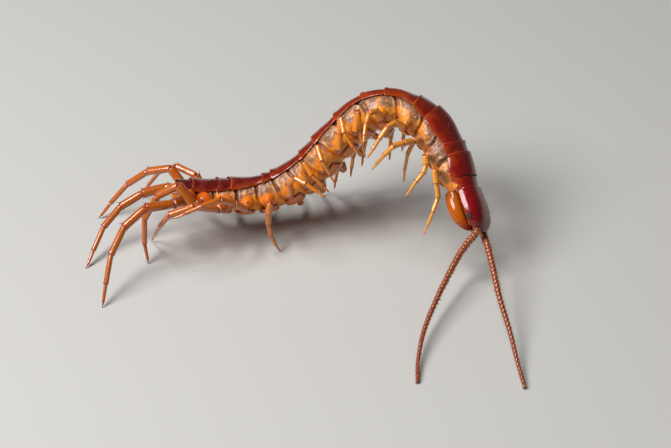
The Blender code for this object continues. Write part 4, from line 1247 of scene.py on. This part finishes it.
def make_antenna(name, path, tree, sizes, material):
    """One antenna: the beads of a tree along a path."""
    curve = bpy.data.curves.new(f"antenna_{name}_path", "CURVE")
    curve.dimensions = "3D"
    spline = curve.splines.new("POLY")
    spline.points.add(len(path) - 1)
    for spot, point in zip(spline.points, path):
        spot.co = (*((point - ORIGIN) * MM), 1.0)
    thread = linked(curve.name, curve)
    give_tree(thread, tree, {"Beads": sizes.beads, "Root Radius": sizes.antenna_root * MM,
                             "Tip Radius": sizes.antenna_tip * MM, "Neck": BEAD_NECK})
    antenna = linked(f"beaded_antenna_{name}", plain_mesh(thread))
    bpy.data.objects.remove(thread, do_unlink=True)
    point_outwards(antenna)
    return finish_piece(antenna, material, "antenna_chitin", f"antenna_{name}")


class CentipedeSizes(bpy.types.PropertyGroup):
    """Sizes that a user would change, in millimetres."""
    skin_along: IntProperty(name="Rows along the body", description="Rings of points in the soft skin",
                            default=420, min=60)
    skin_around: IntProperty(name="Points around the body", description="Points in each ring of the skin",
                             default=110, min=24)
    plate: FloatProperty(name="Plate thickness", description="Thickness of a back or belly plate, in mm",
                         default=0.07)
    beads: IntProperty(name="Beads", description="Beads in one antenna", default=40, min=6)
    antenna_root: FloatProperty(name="Antenna root", description="Radius of an antenna's first bead, in mm",
                                default=0.29)
    antenna_tip: FloatProperty(name="Antenna tip", description="Radius of an antenna's last bead, in mm",
                               default=0.14)
    bristle: FloatProperty(name="Bristle length", description="Length of a bristle on the antennae, in mm",
                           default=0.16)
    bristle_radius: FloatProperty(name="Bristle radius", description="Radius of a bristle's foot, in mm",
                                  default=0.011)


class CentipedeColours(bpy.types.PropertyGroup):
    """Colours that a user would change."""
    margin: FloatVectorProperty(name="Plate margin", description="Margin of a back plate", subtype="COLOR",
                                default=linear("#A8440E"), min=0.0, max=1.0)
    membrane: FloatVectorProperty(name="Membrane", description="Tint of the soft flanks", subtype="COLOR",
                                  default=linear("#C4A49C"), min=0.0, max=1.0)
    amber: FloatVectorProperty(name="Legs", description="Tint of the leg cuticle", subtype="COLOR",
                               default=linear("#EBA840"), min=0.0, max=1.0)


class CENTIPEDE_OT_flanks(bpy.types.Operator):
    """Make the soft skin of the trunk and its belly plates and leg bases"""
    bl_idname = "centipede.flanks"
    bl_label = "Make Flanks"

    def execute(self, context):
        sizes = context.scene.centipede_sizes
        trunk = [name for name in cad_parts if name.startswith("trunk_")]
        closed_piece("soft_flanks", make_flanks(sizes), flank_material(context.scene.centipede_colours),
                     "back_plate_chitin", *trunk)
        amber = belly_material()
        belly = sheet_piece("belly_plates", make_belly_plates(), sizes.plate, 1)
        finish_piece(belly, amber, "leg_chitin")
        closed_piece("leg_bases", make_coxae(), amber, "leg_chitin")
        return {"FINISHED"}


class CENTIPEDE_OT_back_plates(bpy.types.Operator):
    """Make the plates over the back"""
    bl_idname = "centipede.back_plates"
    bl_label = "Make Back Plates"

    def execute(self, context):
        sizes = context.scene.centipede_sizes
        plates = sheet_piece("back_plates", make_back_plates(sizes.plate), sizes.plate, 2)
        finish_piece(plates, back_plate_material(context.scene.centipede_colours), "back_plate_chitin")
        hair = bristle_material("back_bristle", "#A86A3C", 0.4)
        bristles(plates, hair, "back_plate_chitin", density=1.6, length=sizes.bristle * 1.3,
                 radius=sizes.bristle_radius, lean=(-0.5, 0.0, 0.0))
        return {"FINISHED"}


class CENTIPEDE_OT_head(bpy.types.Operator):
    """Make the head, its shield, its eyes and the venom claws"""
    bl_idname = "centipede.head"
    bl_label = "Make Head"

    def execute(self, context):
        sizes = context.scene.centipede_sizes
        cuticle = head_material()
        shield = sheet_piece("head_shield", make_head_shield(), SHIELD_WALL, 2)
        finish_piece(shield, cuticle, "head_chitin")
        hair = bristle_material("head_bristle", "#A86A3C", 0.4)
        bristles(shield, hair, "head_chitin", density=2.2, length=sizes.bristle, radius=sizes.bristle_radius,
                 lean=(0.3, -0.3, 0.0))
        closed_piece("head_capsule", make_head_capsule(), cuticle, "head_chitin", "head")
        closed_piece("mouth_parts", make_mouth_parts(), belly_material(), "forcipule_chitin")
        orange = forcipule_material()
        for side, name in SIDES:
            closed_piece(f"venom_claw_{name}", make_forcipule(side), orange, "forcipule_chitin",
                         f"forcipule_{name}")
        black = eye_material()
        tree = lens_tree(black)
        for side, name in SIDES:
            lenses = point_object(f"simple_eyes_{name}", *eye_points(side))
            give_tree(lenses, tree, {"Smoothness": LENS_SMOOTHNESS})
            settle(lenses)
            finish_piece(lenses, black, "eye_chitin", f"eye_{name}")
        return {"FINISHED"}


class CENTIPEDE_OT_legs(bpy.types.Operator):
    """Make the thirty jointed legs and their spines"""
    bl_idname = "centipede.legs"
    bl_label = "Make Legs"

    def execute(self, context):
        amber = leg_material(context.scene.centipede_colours)
        for _, side in SIDES:
            for number in range(1, len(LEG_AT) + 1):
                label = f"leg_{side}_{number:02d}"
                closed_piece(f"jointed_{label}", make_leg(side, number), amber, "leg_chitin", label)
        dark = bristle_material("dark_spine_cuticle", "#4A1A08", 0.3)
        spines = point_object("leg_spines", *leg_spine_points(random.Random(SPINE_SEED)))
        give_tree(spines, spine_tree("spines", dark), {"Slenderness": SPINE_SLENDERNESS})
        settle(spines)
        finish_piece(spines, dark, "leg_chitin")
        return {"FINISHED"}


class CENTIPEDE_OT_antennae(bpy.types.Operator):
    """Make the two beaded antennae and their bristles"""
    bl_idname = "centipede.antennae"
    bl_label = "Make Antennae"

    def execute(self, context):
        sizes = context.scene.centipede_sizes
        rust = antenna_material()
        hair = bristle_material("golden_bristle", "#B8703A", 0.4)
        tree = antenna_tree(rust)
        antennae = [make_antenna(name, antenna_path(side, ANTENNAE[name], sizes), tree, sizes, rust)
                    for side, name in SIDES]
        for antenna in antennae:
            bristles(antenna, hair, "antenna_chitin", density=70.0, length=sizes.bristle,
                     radius=sizes.bristle_radius, lean=(0.1, -0.8, 0.0))
        return {"FINISHED"}


class CENTIPEDE_OT_stage(bpy.types.Operator):
    """Make the floor, the studio light and the camera"""
    bl_idname = "centipede.stage"
    bl_label = "Make Stage"

    def execute(self, context):
        scene = context.scene
        bpy.ops.mesh.primitive_plane_add(size=FLOOR_SIZE * MM)
        floor = context.object
        floor.name = "floor"
        floor.data.materials.append(floor_material())
        world = bpy.data.worlds.new("studio")
        world.use_nodes = True
        background = world.node_tree.nodes["Background"]
        background.inputs["Color"].default_value = plain(AIR_COLOUR)
        background.inputs["Strength"].default_value = AIR_STRENGTH
        scene.world = world
        middle = -ORIGIN * MM
        for name, place, (width, height), watts in LIGHTS:
            lamp = bpy.data.lights.new(name, "AREA")
            lamp.shape = "RECTANGLE"
            lamp.size = width * MM
            lamp.size_y = height * MM
            lamp.energy = watts
            light = linked(name, lamp)
            light.location = middle + Vector(place) * MM
            aim = Vector(LIGHT_AIM) * MM + middle - light.location
            light.rotation_euler = aim.to_track_quat("-Z", "Y").to_euler()
        lens = bpy.data.cameras.new("camera")
        lens.sensor_width = SENSOR
        lens.lens = SENSOR * CAMERA_DISTANCE / PIXEL / PHOTO_WIDTH
        lens.clip_start = MM
        camera = linked("camera", lens)
        forward = Vector((0.0, math.cos(CAMERA_DOWN), -math.sin(CAMERA_DOWN)))
        camera.location = (CAMERA_AIM - ORIGIN - forward * CAMERA_DISTANCE) * MM
        camera.rotation_euler = (math.pi / 2 - CAMERA_DOWN, 0.0, 0.0)
        scene.camera = camera
        scene.view_settings.view_transform = "Standard"
        return {"FINISHED"}


class CENTIPEDE_PT_panel(bpy.types.Panel):
    """Lists the centipede's sizes, colours and pieces"""
    bl_idname = "CENTIPEDE_PT_panel"
    bl_label = "Stone Centipede"
    bl_space_type = "VIEW_3D"
    bl_region_type = "UI"
    bl_category = "Centipede"

    def draw(self, context):
        for group in (context.scene.centipede_sizes, context.scene.centipede_colours):
            for name in group.__annotations__:
                self.layout.prop(group, name)
        for operator in OPERATORS:
            self.layout.operator(operator.bl_idname)


OPERATORS = (CENTIPEDE_OT_flanks, CENTIPEDE_OT_back_plates, CENTIPEDE_OT_head, CENTIPEDE_OT_legs,
             CENTIPEDE_OT_antennae, CENTIPEDE_OT_stage)
CLASSES = (CentipedeSizes, CentipedeColours) + OPERATORS + (CENTIPEDE_PT_panel,)


def register():
    """Register the classes and hang the two groups of values on the scene."""
    for item in CLASSES:
        bpy.utils.register_class(item)
    bpy.types.Scene.centipede_sizes = PointerProperty(type=CentipedeSizes)
    bpy.types.Scene.centipede_colours = PointerProperty(type=CentipedeColours)


def unregister():
    """Undo what register did."""
    del bpy.types.Scene.centipede_colours
    del bpy.types.Scene.centipede_sizes
    for item in reversed(CLASSES):
        bpy.utils.unregister_class(item)


def main():
    register()
    bpy.ops.centipede.flanks()
    bpy.ops.centipede.back_plates()
    bpy.ops.centipede.head()
    bpy.ops.centipede.legs()
    bpy.ops.centipede.antennae()
    bpy.ops.centipede.stage()


if __name__ == "__main__":
    main()
